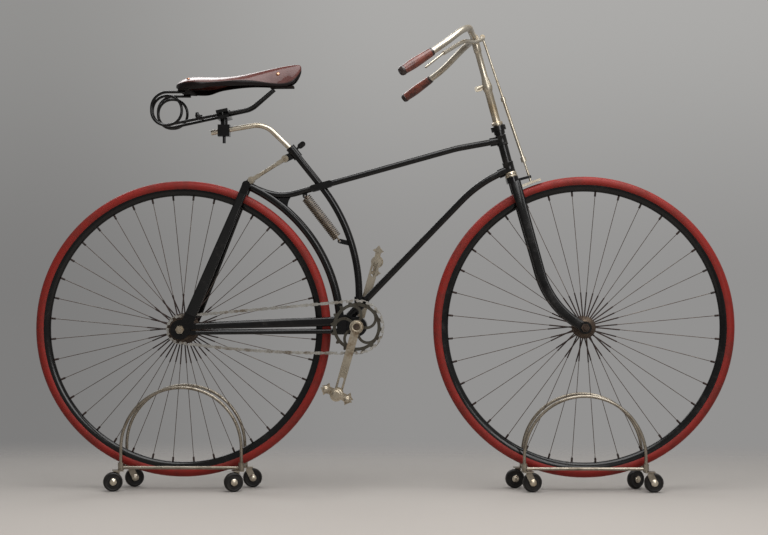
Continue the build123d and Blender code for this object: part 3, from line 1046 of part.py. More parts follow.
for name, axle, radius, hoop_leg in (
    ("rear", REAR_AXLE, REAR_RADIUS, REAR_HOOP_LEG),
    ("front", FRONT_AXLE, FRONT_RADIUS, FRONT_HOOP_LEG),
):
    base_z = axle.Z - sqrt((radius + STAND_ROD + SEAT_GAP) ** 2 - STAND_HALF ** 2)
    low_left = Vector(axle.X - STAND_HALF, 0, base_z)
    low_right = Vector(axle.X + STAND_HALF, 0, base_z)
    leg = Vector(0, 0, hoop_leg)
    crest = Vector(axle.X, 0, base_z + hoop_leg + STAND_HALF)
    stand = None
    for side in SIDES.values():
        out = Vector(0, side * HOOP_Y, 0)
        path = Wire([
            Edge.make_line(low_left + out, low_left + leg + out),
            Edge.make_three_point_arc(low_left + leg + out, crest + out, low_right + leg + out),
            Edge.make_line(low_right + leg + out, low_right + out),
        ])
        hoop = sweep(Plane(low_left + out, z_dir=(0, 0, 1)) * Circle(STAND_ROD), path=path)
        hoop += rod(low_left + out, low_right + out, STAND_ROD)
        stand = hoop if stand is None else stand + hoop
    for end in (low_left, low_right):
        stand += rod(end - Vector(0, HOOP_Y, 0), end + Vector(0, HOOP_Y, 0), STAND_ROD)
        for side in SIDES.values():
            corner = end + Vector(0, side * HOOP_Y, 0)
            corner_low = Vector(corner.X, corner.Y, BRACKET_TOP + SEAT_GAP)
            stand += rod(corner_low, corner_low + Vector(0, 0, CORNER_HEIGHT), CORNER_RADIUS)
            stand -= rod(corner_low, corner_low + Vector(0, 0, SWIVEL_BORE), SWIVEL_RADIUS + RUNNING_FIT)
    save(f"{name}_stand", stand)

    for stand_name, end, side, trail_angle in CASTERS:
        if stand_name != name:
            continue
        swivel = Pos(axle.X + end * STAND_HALF, side * HOOP_Y, 0) * Rot(0, 0, trail_angle)
        node = f"{name}_caster_{CORNER_NAMES[(end, side)]}"
        wheel_place = Vector(CASTER_TRAIL, 0, CASTER_RADIUS)
        cheek_high = -CASTER_WIDTH / 2 - SIDE_PLAY
        cheek_low = cheek_high - BRACKET_PLATE
        cheek_top = Vector(CASTER_TRAIL * 0.5, 0, BRACKET_TOP - CHEEK_DROP)
        frame_piece = plate(strap(wheel_place, cheek_top, CHEEK_WIDTH), cheek_low, cheek_high)
        roof = Pos(CASTER_TRAIL * 0.35, cheek_low / 2, BRACKET_TOP - BRACKET_PLATE / 2)
        frame_piece += roof * Box(CASTER_TRAIL * 1.3, CHEEK_WIDTH - cheek_low, BRACKET_PLATE)
        top_place = Vector(0, 0, BRACKET_TOP - BRACKET_PLATE)
        frame_piece += rod(top_place, Vector(0, 0, BRACKET_TOP + SWIVEL_BORE - 1), SWIVEL_RADIUS)
        pin_end = CASTER_WIDTH / 2 + SIDE_PLAY
        cap_place = wheel_place + Vector(0, pin_end, 0)
        frame_piece += rod(wheel_place + Vector(0, cheek_low, 0), cap_place, SWIVEL_RADIUS)
        frame_piece += rod(cap_place, cap_place + Vector(0, CAP_THICKNESS, 0), AXLE_CAP)
        save(node + "_fork", swivel * frame_piece)
        tread = turned(mirrored([
            (SWIVEL_RADIUS + RUNNING_FIT, CASTER_WIDTH / 2), (CASTER_RADIUS - TREAD_BEVEL, CASTER_WIDTH / 2),
            (CASTER_RADIUS, CASTER_WIDTH / 2 - TREAD_BEVEL),
        ]))
        save(node + "_wheel", swivel * across(wheel_place) * tread)
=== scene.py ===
import json
from math import atan2, ceil, cos, hypot, pi, radians, sin, sqrt

import bmesh
import bpy
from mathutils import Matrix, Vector

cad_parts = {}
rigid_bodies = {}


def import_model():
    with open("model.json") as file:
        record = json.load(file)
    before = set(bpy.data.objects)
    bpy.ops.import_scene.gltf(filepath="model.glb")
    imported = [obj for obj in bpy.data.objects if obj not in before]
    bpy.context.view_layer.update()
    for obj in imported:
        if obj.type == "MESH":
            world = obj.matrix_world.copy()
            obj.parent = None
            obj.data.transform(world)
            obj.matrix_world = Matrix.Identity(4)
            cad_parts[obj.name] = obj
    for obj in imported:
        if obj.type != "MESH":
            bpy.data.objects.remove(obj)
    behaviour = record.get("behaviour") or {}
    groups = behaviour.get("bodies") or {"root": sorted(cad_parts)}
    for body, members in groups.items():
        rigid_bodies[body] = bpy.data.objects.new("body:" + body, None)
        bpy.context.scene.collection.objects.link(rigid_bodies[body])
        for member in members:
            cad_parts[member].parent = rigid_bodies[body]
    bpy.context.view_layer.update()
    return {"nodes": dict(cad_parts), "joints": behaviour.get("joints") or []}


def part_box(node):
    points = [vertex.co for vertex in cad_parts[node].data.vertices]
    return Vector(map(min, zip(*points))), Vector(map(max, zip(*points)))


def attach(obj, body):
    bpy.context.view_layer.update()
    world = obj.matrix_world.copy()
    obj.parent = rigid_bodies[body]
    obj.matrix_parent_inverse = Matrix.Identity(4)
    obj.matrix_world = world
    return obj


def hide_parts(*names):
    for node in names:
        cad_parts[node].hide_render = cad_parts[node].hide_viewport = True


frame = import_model()

# Camera: level with the middle of the bicycle, square to its drive side and a little towards
# the front wheel, with the long lens that a studio picture of a whole bicycle is taken with.
SENSOR = 36.0
PICTURE_WIDTH = 768.0
FOCAL_PIXELS = 1812.0
CAMERA_DISTANCE = 4.6
EYE_HEIGHT = 0.564
CAMERA_YAW = radians(1.2)
camera_data = bpy.data.cameras.new("camera")
camera_data.sensor_width = SENSOR
camera_data.lens = FOCAL_PIXELS / PICTURE_WIDTH * SENSOR
camera = bpy.data.objects.new("camera", camera_data)
camera.location = (CAMERA_DISTANCE * sin(CAMERA_YAW), -CAMERA_DISTANCE * cos(CAMERA_YAW), EYE_HEIGHT)
camera.rotation_euler = (pi / 2, 0, CAMERA_YAW)
bpy.context.collection.objects.link(camera)
scene = bpy.context.scene
scene.camera = camera
scene.view_settings.view_transform = "Standard"


# Studio: a pale floor, darkened with painted shade away from a middle in front of the bicycle, that passes
# softly into a grey backdrop, one broad soft light overhead, weaker ones beside the camera and behind the
# bicycle, and a grey fill that is strongest from above.
def srgb(red, green, blue):
    """A colour as it shows on screen, from 0 to 255, in linear values with full alpha."""
    return tuple(((value / 255 + 0.055) / 1.055) ** 2.4 for value in (red, green, blue)) + (1.0,)


def add(tree, kind, inputs=(), **settings):
    """One node with its settings, and its inputs given a value or linked to a socket."""
    made = tree.nodes.new(kind)
    for name, value in settings.items():
        setattr(made, name, value)
    for name, value in dict(inputs).items():
        if isinstance(value, bpy.types.NodeSocket):
            tree.links.new(value, made.inputs[name])
        else:
            made.inputs[name].default_value = value
    return made


def maths(tree, operation, *values):
    """The result of one Math node, from numbers and sockets."""
    return add(tree, "ShaderNodeMath", dict(enumerate(values)), operation=operation).outputs[0]


def blend_colours(tree, factor, first, second):
    """The colour between two colours, each a socket or four numbers."""
    return add(tree, "ShaderNodeMix", {0: factor, 6: first, 7: second}, data_type="RGBA").outputs[2]


def spread(tree, value, low, high, to_low, to_high, smooth=False):
    """A value taken from one range into another and held at its ends."""
    inputs = {"Value": value, "From Min": low, "From Max": high, "To Min": to_low, "To Max": to_high}
    return add(tree, "ShaderNodeMapRange", inputs,
               interpolation_type="SMOOTHSTEP" if smooth else "LINEAR").outputs["Result"]


FLOOR_HALF = 12.0
FLOOR_NEAR = srgb(174, 168, 162)
FLOOR_FAR = srgb(148, 144, 140)
FLOOR_ROUGHNESS = 0.75
FLOOR_SPECULAR = 0.2
FLOOR_CENTRE_Y = -0.9
FLOOR_LONG = 2.6
FLOOR_PAINTED_SHADE = (0.2, 1.5)
FLOOR_FADE = (1.3, 2.3)
floor_mesh = bpy.data.meshes.new("floor")
floor_mesh.from_pydata([(-FLOOR_HALF, -FLOOR_HALF, 0), (FLOOR_HALF, -FLOOR_HALF, 0),
                        (FLOOR_HALF, FLOOR_HALF, 0), (-FLOOR_HALF, FLOOR_HALF, 0)], [], [(0, 1, 2, 3)])
floor = bpy.data.objects.new("floor", floor_mesh)
bpy.context.collection.objects.link(floor)
floor_material = bpy.data.materials.new("studio_floor")
floor_material.use_nodes = True
tree = floor_material.node_tree
place = add(tree, "ShaderNodeTexCoord").outputs["Object"]
centred = add(tree, "ShaderNodeMapping", {"Vector": place, "Location": (0, -FLOOR_CENTRE_Y, 0),
                                          "Scale": (1 / FLOOR_LONG, 1, 0)}).outputs["Vector"]
away = add(tree, "ShaderNodeVectorMath", {0: centred}, operation="LENGTH").outputs["Value"]
shader = tree.nodes["Principled BSDF"]
# Painted shade: the floor's colour goes from FLOOR_NEAR to the darker FLOOR_FAR away from its middle,
# standing in for the light falling off.
painted_shade = spread(tree, away, *FLOOR_PAINTED_SHADE, 0, 1, smooth=True)
tree.links.new(blend_colours(tree, painted_shade, FLOOR_NEAR, FLOOR_FAR), shader.inputs["Base Color"])
shader.inputs["Roughness"].default_value = FLOOR_ROUGHNESS
shader.inputs["Specular IOR Level"].default_value = FLOOR_SPECULAR
clear = add(tree, "ShaderNodeBsdfTransparent").outputs["BSDF"]
gone = spread(tree, away, *FLOOR_FADE, 0, 1, smooth=True)
faded = add(tree, "ShaderNodeMixShader", {0: gone, 1: shader.outputs["BSDF"], 2: clear}).outputs["Shader"]
tree.links.new(faded, tree.nodes["Material Output"].inputs["Surface"])
floor_mesh.materials.append(floor_material)

WALL_LOW = srgb(146, 145, 144)
WALL_HIGH = srgb(172, 171, 169)
WALL_RISE = (-0.02, 0.16)
WALL_SIDE = (-0.22, 0.0)
WALL_SHADE = 0.3
FILL_LEVELS = (0.05, 0.3)
FILL_RISE = (-0.3, 0.3)
world = bpy.data.worlds.new("studio")
scene.world = world
world.use_nodes = True
tree = world.node_tree
way = add(tree, "ShaderNodeSeparateXYZ", {0: add(tree, "ShaderNodeTexCoord").outputs["Generated"]}).outputs
rise = spread(tree, way["Z"], *WALL_RISE, 0, 1, smooth=True)
wall = blend_colours(tree, rise, WALL_LOW, WALL_HIGH)
shade = spread(tree, way["X"], *WALL_SIDE, WALL_SHADE, 0, smooth=True)
wall = blend_colours(tree, shade, wall, (0, 0, 0, 1))
seen = tree.nodes["Background"]
tree.links.new(wall, seen.inputs["Color"])
fill_level = spread(tree, way["Z"], *FILL_RISE, *FILL_LEVELS)
fill = add(tree, "ShaderNodeBackground", {"Color": (1, 1, 1, 1), "Strength": fill_level})
path = add(tree, "ShaderNodeLightPath").outputs
direct = maths(tree, "MAXIMUM", path["Is Camera Ray"], path["Is Glossy Ray"])
direct = maths(tree, "MAXIMUM", direct, path["Is Transmission Ray"])
both = add(tree, "ShaderNodeMixShader", {0: direct, 1: fill.outputs["Background"],
                                         2: seen.outputs["Background"]}).outputs["Shader"]
tree.links.new(both, tree.nodes["World Output"].inputs["Surface"])

LAMPS = (
    # name, place, width, depth, watts
    ("overhead", (0.5, -0.7, 3.1), 3.2, 2.2, 104.0),
    ("beside_camera", (1.6, -3.8, 1.9), 1.6, 1.6, 40.0),
    ("behind", (-1.2, 2.6, 2.6), 2.0, 1.2, 26.0),
)
LAMPS_AIM = Vector((0, 0, 0.5))
for name, place, width, depth, watts in LAMPS:
    lamp_data = bpy.data.lights.new(name, "AREA")
    lamp_data.shape = "RECTANGLE"
    lamp_data.size = width
    lamp_data.size_y = depth
    lamp_data.energy = watts
    lamp = bpy.data.objects.new(name, lamp_data)
    lamp.location = place
    towards = LAMPS_AIM - Vector(place)
    lamp.rotation_euler = towards.to_track_quat("-Z", "Y").to_euler()
    bpy.context.collection.objects.link(lamp)

# Tyres: round-section red rubber, cemented into the rims, with duller and darker patches that the years
# have left. Each is turned from its section about the axle.
MM = 0.001


def effect(name, inputs, outputs):
    """An empty shader group with named number inputs, and named outputs."""
    group = bpy.data.node_groups.new(name, "ShaderNodeTree")
    for label, value in inputs.items():
        group.interface.new_socket(label, in_out="INPUT", socket_type="NodeSocketFloat").default_value = value
    for label in outputs:
        group.interface.new_socket(label, in_out="OUTPUT", socket_type="NodeSocketFloat")
    return group, add(group, "NodeGroupInput").outputs, add(group, "NodeGroupOutput").inputs


FINE_SCALE = 7.0
FINE_SHARE = 0.35
PATCH_LEVEL = 1.05
PATCH_EDGE = (-0.08, 0.22)
age_patches, given, wanted = effect("age_patches", {"Scale": 9.0, "Amount": 0.4}, ["Mask"])
place = add(age_patches, "ShaderNodeTexCoord").outputs["Object"]
broad = add(age_patches, "ShaderNodeTexNoise", {"Vector": place, "Scale": given["Scale"], "Detail": 6.0,
                                                "Roughness": 0.65}).outputs["Fac"]
fine = maths(age_patches, "MULTIPLY", given["Scale"], FINE_SCALE)
fine = add(age_patches, "ShaderNodeTexNoise", {"Vector": place, "Scale": fine, "Detail": 4.0}).outputs["Fac"]
mixed = maths(age_patches, "MULTIPLY_ADD", fine, FINE_SHARE, broad)
edge = maths(age_patches, "SUBTRACT", PATCH_LEVEL, given["Amount"])
over = maths(age_patches, "SUBTRACT", mixed, edge)
age_patches.links.new(spread(age_patches, over, *PATCH_EDGE, 0, 1, smooth=True), wanted["Mask"])

fine_grain, given, wanted = effect("fine_grain", {"Scale": 400.0}, ["Height", "Cloud"])
place = add(fine_grain, "ShaderNodeTexCoord").outputs["Object"]
grain = add(fine_grain, "ShaderNodeTexNoise", {"Vector": place, "Scale": given["Scale"], "Detail": 3.0})
cloud = add(fine_grain, "ShaderNodeTexNoise", {"Vector": place, "Scale": 22.0, "Detail": 5.0})
fine_grain.links.new(grain.outputs["Fac"], wanted["Height"])
fine_grain.links.new(cloud.outputs["Fac"], wanted["Cloud"])
CLOUD_RANGE = (0.3, 0.7)
CLOUD_GLOSS = (-0.06, 0.08)


def aged_finish(name, fresh, aged, metallic=(1.0, 1.0), roughness=(0.25, 0.5), amount=0.4, patch=9.0,
                grain=400.0, bump=0.05, coat=0.0, specular=0.5):
    """A finish that passes in patches from fresh to aged, with fine grain in its gloss and relief."""
    material = bpy.data.materials.new(name)
    material.use_nodes = True
    tree = material.node_tree
    shader = tree.nodes["Principled BSDF"]
    mask = add(tree, "ShaderNodeGroup", node_tree=age_patches)
    mask.inputs["Scale"].default_value = patch
    mask.inputs["Amount"].default_value = amount
    fine = add(tree, "ShaderNodeGroup", node_tree=fine_grain)
    fine.inputs["Scale"].default_value = grain
    tree.links.new(blend_colours(tree, mask.outputs["Mask"], fresh, aged), shader.inputs["Base Color"])
    if metallic[0] == metallic[1]:
        shader.inputs["Metallic"].default_value = metallic[0]
    else:
        tree.links.new(spread(tree, mask.outputs["Mask"], 0, 1, *metallic), shader.inputs["Metallic"])
    worn = spread(tree, mask.outputs["Mask"], 0, 1, *roughness)
    cloud = spread(tree, fine.outputs["Cloud"], *CLOUD_RANGE, *CLOUD_GLOSS)
    tree.links.new(maths(tree, "ADD", worn, cloud), shader.inputs["Roughness"])
    relief = add(tree, "ShaderNodeBump", {"Height": fine.outputs["Height"], "Strength": bump, "Distance": MM})
    tree.links.new(relief.outputs["Normal"], shader.inputs["Normal"])
    shader.inputs["Coat Weight"].default_value = coat
    shader.inputs["Specular IOR Level"].default_value = specular
    return material


WELD = 1e-6
SOFT_BEND = 35.0


def mesh_from(name, bm, smooth=SOFT_BEND):
    """A bmesh as a mesh with outward faces, smooth except at sharp edges."""
    bmesh.ops.remove_doubles(bm, verts=bm.verts, dist=WELD)
    bmesh.ops.recalc_face_normals(bm, faces=bm.faces)
    for face in bm.faces:
        face.smooth = True
    for side in bm.edges:
        side.smooth = len(side.link_faces) == 2 and side.calc_face_angle(0) < radians(smooth)
    mesh = bpy.data.meshes.new(name)
    bm.to_mesh(mesh)
    bm.free()
    return mesh


def piece_from(name, bm, material, body, replaced=(), smooth=SOFT_BEND):
    """A bmesh as a piece of the bicycle, on its body and in the place of CAD nodes."""
    made = bpy.data.objects.new(name, mesh_from(name, bm, smooth))
    bpy.context.collection.objects.link(made)
    made.data.materials.append(material)
    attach(made, body)
    if replaced:
        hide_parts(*replaced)
    return made


def turn_profile(bm, profile, centre, axis=(0, 1, 0), segments=96, closed=True):
    """Adds a solid of revolution from (radius, distance along the axis) points."""
    along = Vector(axis).normalized()
    out = along.orthogonal().normalized()
    side = along.cross(out)
    rings = []
    for step in range(segments):
        angle = 2 * pi * step / segments
        spoke_way = out * cos(angle) + side * sin(angle)
        rings.append([bm.verts.new(Vector(centre) + spoke_way * r + along * d) for r, d in profile])
    count = len(profile)
    for step in range(segments):
        first, second = rings[step], rings[(step + 1) % segments]
        for point in range(count if closed else count - 1):
            after = (point + 1) % count
            corners = [first[point], first[after], second[after], second[point]]
            if profile[point][0] == 0:
                corners = [first[point], first[after], second[after]]
            elif profile[after][0] == 0:
                corners = [first[point], first[after], second[point]]
            if profile[point][0] or profile[after][0]:
                bm.faces.new(corners)


WHEELS = ("rear", "front")
TYRE_SECTION = 13.5 * MM
TYRE_STEPS = 30
tyre_rubber = aged_finish("tyre_rubber", srgb(132, 33, 26), srgb(112, 38, 31), metallic=(0.0, 0.0),
                          roughness=(0.5, 0.66), patch=14.0, grain=900.0, bump=0.12, specular=0.25)
axles = {}
for wheel in WHEELS:
    low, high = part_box(f"{wheel}_tyre")
    axles[wheel] = (low + high) / 2
    rim_low, rim_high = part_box(f"{wheel}_rim")
    seat = (rim_high.x - rim_low.x) / 2
    middle = (high.x - low.x) / 2 - TYRE_SECTION
    wrap = pi / 2 + atan2(middle - seat, sqrt(TYRE_SECTION ** 2 - (middle - seat) ** 2))
    section = []
    for step in range(TYRE_STEPS + 1):
        angle = -wrap + 2 * wrap * step / TYRE_STEPS
        section.append((middle + TYRE_SECTION * cos(angle), TYRE_SECTION * sin(angle)))
    bm = bmesh.new()
    turn_profile(bm, section, axles[wheel], segments=160)
    piece_from(f"{wheel}_tyre_rubber", bm, tyre_rubber, f"{wheel}_wheel", [f"{wheel}_tyre"])

# Rims: rolled steel of half-round section in black enamel, with the tyres cemented into their hollow.
# Each is turned from its section about the axle.
RIM_DEPTH = 17.0 * MM
RIM_STEPS = 16
black_enamel = aged_finish("black_enamel", srgb(9, 8, 8), srgb(27, 24, 22), metallic=(0.0, 0.0),
                           roughness=(0.16, 0.34), amount=0.3, patch=18.0, grain=300.0, bump=0.02,
                           specular=0.35)
for wheel in WHEELS:
    low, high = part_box(f"{wheel}_rim")
    seat = (high.x - low.x) / 2
    half = (high.y - low.y) / 2
    section = []
    for step in range(RIM_STEPS + 1):
        angle = pi * step / RIM_STEPS
        section.append((seat - RIM_DEPTH * sin(angle), -half * cos(angle)))
    bm = bmesh.new()
    turn_profile(bm, section, axles[wheel], segments=144)
    piece_from(f"{wheel}_rim_steel", bm, black_enamel, f"{wheel}_wheel", [f"{wheel}_rim"])


# Spokes: plain steel wires gone dark, in pairs that start side by side, one on each flange of the hub, and
# part towards the rim, with thick rusty butts at the hub and nipples at the rim. One pair is repeated round
# the axle.
def bar_between(bm, start, end, radius, sides=8):
    """Adds a straight round bar from one place to another."""
    run = Vector(end) - Vector(start)
    section = [(0, 0), (radius, 0), (radius, run.length), (0, run.length)]
    turn_profile(bm, section, start, run, segments=sides, closed=False)


def grown(name, base, tree, sizes, material, body, replaced=()):
    """What a Geometry Nodes tree makes of a base mesh with the sizes given, as a plain piece."""
    made = bpy.data.objects.new(name, base)
    bpy.context.collection.objects.link(made)
    growth = made.modifiers.new("growth", "NODES")
    growth.node_group = tree
    for label, value in (sizes | {"Finish": material}).items():
        growth[tree.interface.items_tree[label].identifier] = value
    mesh = bpy.data.meshes.new_from_object(made.evaluated_get(bpy.context.evaluated_depsgraph_get()))
    made.modifiers.remove(growth)
    made.data = mesh
    mesh.name = name
    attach(made, body)
    if replaced:
        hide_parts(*replaced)
    return made


def growing_tree(name, inputs):
    """An empty Geometry Nodes tree that takes a geometry, the named inputs and a finish."""
    tree = bpy.data.node_groups.new(name, "GeometryNodeTree")
    for label, kind in (("Base", "Geometry"), *inputs, ("Finish", "Material")):
        tree.interface.new_socket(label, in_out="INPUT", socket_type=f"NodeSocket{kind}")
    tree.interface.new_socket("Made", in_out="OUTPUT", socket_type="NodeSocketGeometry")
    return tree, add(tree, "NodeGroupInput").outputs


def finish_tree(tree, instances, finish):
    """Ends a tree with its instances made real and given their finish."""
    real = add(tree, "GeometryNodeRealizeInstances", {0: instances}).outputs[0]
    dressed = add(tree, "GeometryNodeSetMaterial", {"Geometry": real, "Material": finish}).outputs[0]
    add(tree, "NodeGroupOutput", {0: dressed})


round_the_axle, given = growing_tree("round_the_axle", (("Count", "Int"), ("Centre", "Vector")))
places = add(round_the_axle, "GeometryNodePoints", {"Count": given["Count"],
                                                    "Position": given["Centre"]}).outputs[0]
step_angle = maths(round_the_axle, "DIVIDE", 2 * pi, given["Count"])
number = add(round_the_axle, "GeometryNodeInputIndex").outputs[0]
angle = maths(round_the_axle, "MULTIPLY", number, step_angle)
turn = add(round_the_axle, "FunctionNodeAxisAngleToRotation", {"Axis": (0, 1, 0), "Angle": angle}).outputs[0]
ring = add(round_the_axle, "GeometryNodeInstanceOnPoints", {"Points": places, "Instance": given["Base"],
                                                            "Rotation": turn}).outputs[0]
finish_tree(round_the_axle, ring, given["Finish"])

SPOKE_SETS = {
    # wheel: spokes, flange radius, flange distance from the middle
    "rear": (40, 39.0 * MM, 29.0 * MM),
    "front": (36, 28.0 * MM, 31.0 * MM),
}
WIRE_RADIUS = 0.85 * MM
WIRE_SIDES = 6
BUTT_RADIUS = 1.7 * MM
BUTT_TO = 89.0 * MM
NIPPLE_RADIUS = 2.6 * MM
NIPPLE_LENGTH = 11.0 * MM
SPOKE_AT_RIM = 2.2 * MM
spoke_wire = aged_finish("spoke_wire", srgb(92, 82, 74), srgb(64, 44, 34), metallic=(0.8, 0.3),
                         roughness=(0.4, 0.7), amount=0.46, patch=30.0, bump=0.1)
spoke_rust = aged_finish("spoke_rust", srgb(32, 26, 24), srgb(48, 31, 25), metallic=(0.3, 0.0),
                         roughness=(0.6, 0.85), amount=0.5, patch=60.0, bump=0.3)
for wheel, (count, flange, flange_y) in SPOKE_SETS.items():
    low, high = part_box(f"{wheel}_rim")
    reach = (high.x - low.x) / 2 - RIM_DEPTH
    wires = bmesh.new()
    ends = bmesh.new()
    for side in (-1, 1):
        foot = Vector((flange, side * flange_y, 0))
        head = Vector((cos(pi / count) * reach, side * SPOKE_AT_RIM, side * sin(pi / count) * reach))
        along = (head - foot).normalized()
        bar_between(wires, foot, head, WIRE_RADIUS, WIRE_SIDES)
        bar_between(ends, foot, foot + along * (BUTT_TO - flange), BUTT_RADIUS)
        bar_between(ends, head - along * NIPPLE_LENGTH, head, NIPPLE_RADIUS)
    ring_sizes = {"Count": count // 2, "Centre": axles[wheel]}
    grown(f"{wheel}_spoke_wires", mesh_from("spoke_pair", wires), round_the_axle, ring_sizes, spoke_wire,
          f"{wheel}_wheel", [f"{wheel}_spokes"])
    grown(f"{wheel}_spoke_ends", mesh_from("spoke_pair_ends", ends), round_the_axle, ring_sizes, spoke_rust,
          f"{wheel}_wheel")

# Hubs: turned steel spools with a rounded flange at each end, their plating gone to brown rust.
# They turn on fixed axles with cones and hexagon nuts that hold the fork ends. The rear axle is of dull
# nickel and the front one is rusty.
HUBS = {
    # wheel: flange radius, flange distance from the middle, half length, bore
    "rear": (39.0, 29.0, 53.0, 6.1),
    "front": (28.0, 31.0, 40.5, 5.1),
}
END_RADIUS = 13.0
BARREL_RADIUS = 15.0
FACET_WELD = 0.02 * MM
SHARP_BEND = radians(32)
rusty_steel = aged_finish("rusty_steel", srgb(88, 76, 64), srgb(52, 38, 29), metallic=(0.9, 0.2),
                          roughness=(0.42, 0.75), amount=0.46, patch=45.0, bump=0.15)
tarnished_nickel = aged_finish("tarnished_nickel", srgb(184, 174, 156), srgb(120, 104, 84),
                               metallic=(1.0, 0.9), roughness=(0.3, 0.5), amount=0.38, patch=24.0,
                               grain=600.0, bump=0.08)


def soften():
    """A tree that shades a CAD mesh smoothly across its facets and keeps its edges."""
    tree = bpy.data.node_groups.new("soft_shading", "GeometryNodeTree")
    tree.interface.new_socket("Base", in_out="INPUT", socket_type="NodeSocketGeometry")
    tree.interface.new_socket("Made", in_out="OUTPUT", socket_type="NodeSocketGeometry")
    base = add(tree, "NodeGroupInput").outputs[0]
    plain = add(tree, "GeometryNodeRemoveAttribute", {"Geometry": base, "Name": "custom_normal"}).outputs[0]
    whole = add(tree, "GeometryNodeMergeByDistance", {"Geometry": plain, "Distance": FACET_WELD}).outputs[0]
    smooth = add(tree, "GeometryNodeSetShadeSmooth", {0: whole, "Shade Smooth": True}, domain="FACE")
    bend = add(tree, "GeometryNodeInputMeshEdgeAngle").outputs["Unsigned Angle"]
    sharp = add(tree, "FunctionNodeCompare", {0: bend, 1: SHARP_BEND}, operation="GREATER_THAN").outputs[0]
    edged = add(tree, "GeometryNodeSetShadeSmooth", {0: smooth.outputs[0], "Selection": sharp,
                                                     "Shade Smooth": False}, domain="EDGE")
    add(tree, "NodeGroupOutput", {0: edged.outputs[0]})
    return tree


soft_shading = soften()


def dress(material, *nodes):
    """Gives CAD nodes that keep their shape their finish, and soft shading across their facets."""
    for node in nodes:
        shown = frame["nodes"][node]
        shown.data.materials.clear()
        shown.data.materials.append(material)
        shown.modifiers.new("soft_shading", "NODES").node_group = soft_shading


def in_metres(profile):
    """A profile of (radius, distance) points, from millimetres."""
    return [(r * MM, d * MM) for r, d in profile]


def both_halves(half):
    """A closed profile from its half in (radius, distance) millimetres, with the other half mirrored."""
    return in_metres([(r, -d) for r, d in half] + half[::-1])


for wheel, (flange, flange_y, half_length, bore) in HUBS.items():
    bm = bmesh.new()
    turn_profile(bm, both_halves([
        (bore, half_length), (END_RADIUS - 1.4, half_length), (END_RADIUS, half_length - 1.4),
        (END_RADIUS, flange_y + 9.0), (END_RADIUS + 2.0, flange_y + 6.8), (flange - 4.0, flange_y + 2.6),
        (flange - 1.0, flange_y + 1.8), (flange, flange_y + 0.6), (flange, flange_y - 0.6),
        (flange - 1.0, flange_y - 1.8), (flange - 4.0, flange_y - 2.2), (BARREL_RADIUS + 2.0, flange_y - 6.5),
        (BARREL_RADIUS, flange_y - 9.0), (BARREL_RADIUS - 0.6, 5.0), (BARREL_RADIUS + 1.0, 3.0),
    ]), axles[wheel], segments=64)
    piece_from(f"{wheel}_hub_spool", bm, rusty_steel, f"{wheel}_wheel", [f"{wheel}_hub"])
dress(tarnished_nickel, "rear_axle")
dress(rusty_steel, "front_axle")

# Frame: brazed steel tubes and lugs under black enamel, dulled in patches, and the fork of the same make.
# The arch follows the rear tyre from the bracket to the lug that joins the top tube and the rear stays.
dress(black_enamel, "head_tube", "top_tube", "down_tube", "rear_arch_tube", "rear_lug", "rear_stays",
      "chain_stays", "fork_ends", "bottom_bracket", "seat_tube", "seat_lug", "fork")

# Drive: one-inch block chain round two sprockets, a ring with curved arms and slotted cranks, all of
# nickelled steel gone warm and dull, and a rusty cog. Blocks and figure-of-eight side plates are repeated
# along the chain's loop.
CHAIN_PITCH = 25.4 * MM
RING_TEETH = 16
COG_TEETH = 8
CHAIN_Y = -48.0 * MM
joints = {joint["name"]: joint for joint in frame["joints"]}
bracket = Vector(joints["crank_spin"]["pos_m"])
rear_axle = Vector(joints["rear_wheel_spin"]["pos_m"])
ring_pitch = CHAIN_PITCH / (2 * sin(pi / RING_TEETH))
cog_pitch = CHAIN_PITCH / (2 * sin(pi / COG_TEETH))
centres = hypot(bracket.x - rear_axle.x, bracket.z - rear_axle.z)
towards_cog = atan2(rear_axle.z - bracket.z, rear_axle.x - bracket.x) % (2 * pi)
tangent_turn = pi / 2 - (ring_pitch - cog_pitch) / centres
upper_angle = towards_cog - tangent_turn
lower_angle = towards_cog + tangent_turn
straight_run = sqrt(centres ** 2 - (ring_pitch - cog_pitch) ** 2)
cog_run = (lower_angle - upper_angle) / (2 * pi) * COG_TEETH * CHAIN_PITCH
ring_run = (2 * pi - lower_angle + upper_angle) / (2 * pi) * RING_TEETH * CHAIN_PITCH
chain_links = ceil((2 * straight_run + cog_run + ring_run) / CHAIN_PITCH)
lower_run = chain_links * CHAIN_PITCH - straight_run - cog_run - ring_run
chain_sag = sqrt(3 * straight_run * (lower_run - straight_run) / 8)


def on_circle(centre, radius, angle):
    """A place on a sprocket's pitch circle."""
    return Vector((centre.x + radius * cos(angle), CHAIN_Y, centre.z + radius * sin(angle)))


def chain_place(length):
    """The place on the chain's loop at a length from where it leaves the ring."""
    length = length % (chain_links * CHAIN_PITCH)
    if length < straight_run:
        start = on_circle(bracket, ring_pitch, upper_angle)
        return start.lerp(on_circle(rear_axle, cog_pitch, upper_angle), length / straight_run)
    length -= straight_run
    if length < cog_run:
        return on_circle(rear_axle, cog_pitch, upper_angle + length / (COG_TEETH * CHAIN_PITCH) * 2 * pi)
    length -= cog_run
    if length < lower_run:
        share = length / lower_run
        start = on_circle(rear_axle, cog_pitch, lower_angle)
        hang = Vector((0, 0, 4 * chain_sag * share * (1 - share)))
        return start.lerp(on_circle(bracket, ring_pitch, lower_angle), share) - hang
    length -= lower_run
    return on_circle(bracket, ring_pitch, lower_angle + length / (RING_TEETH * CHAIN_PITCH) * 2 * pi)


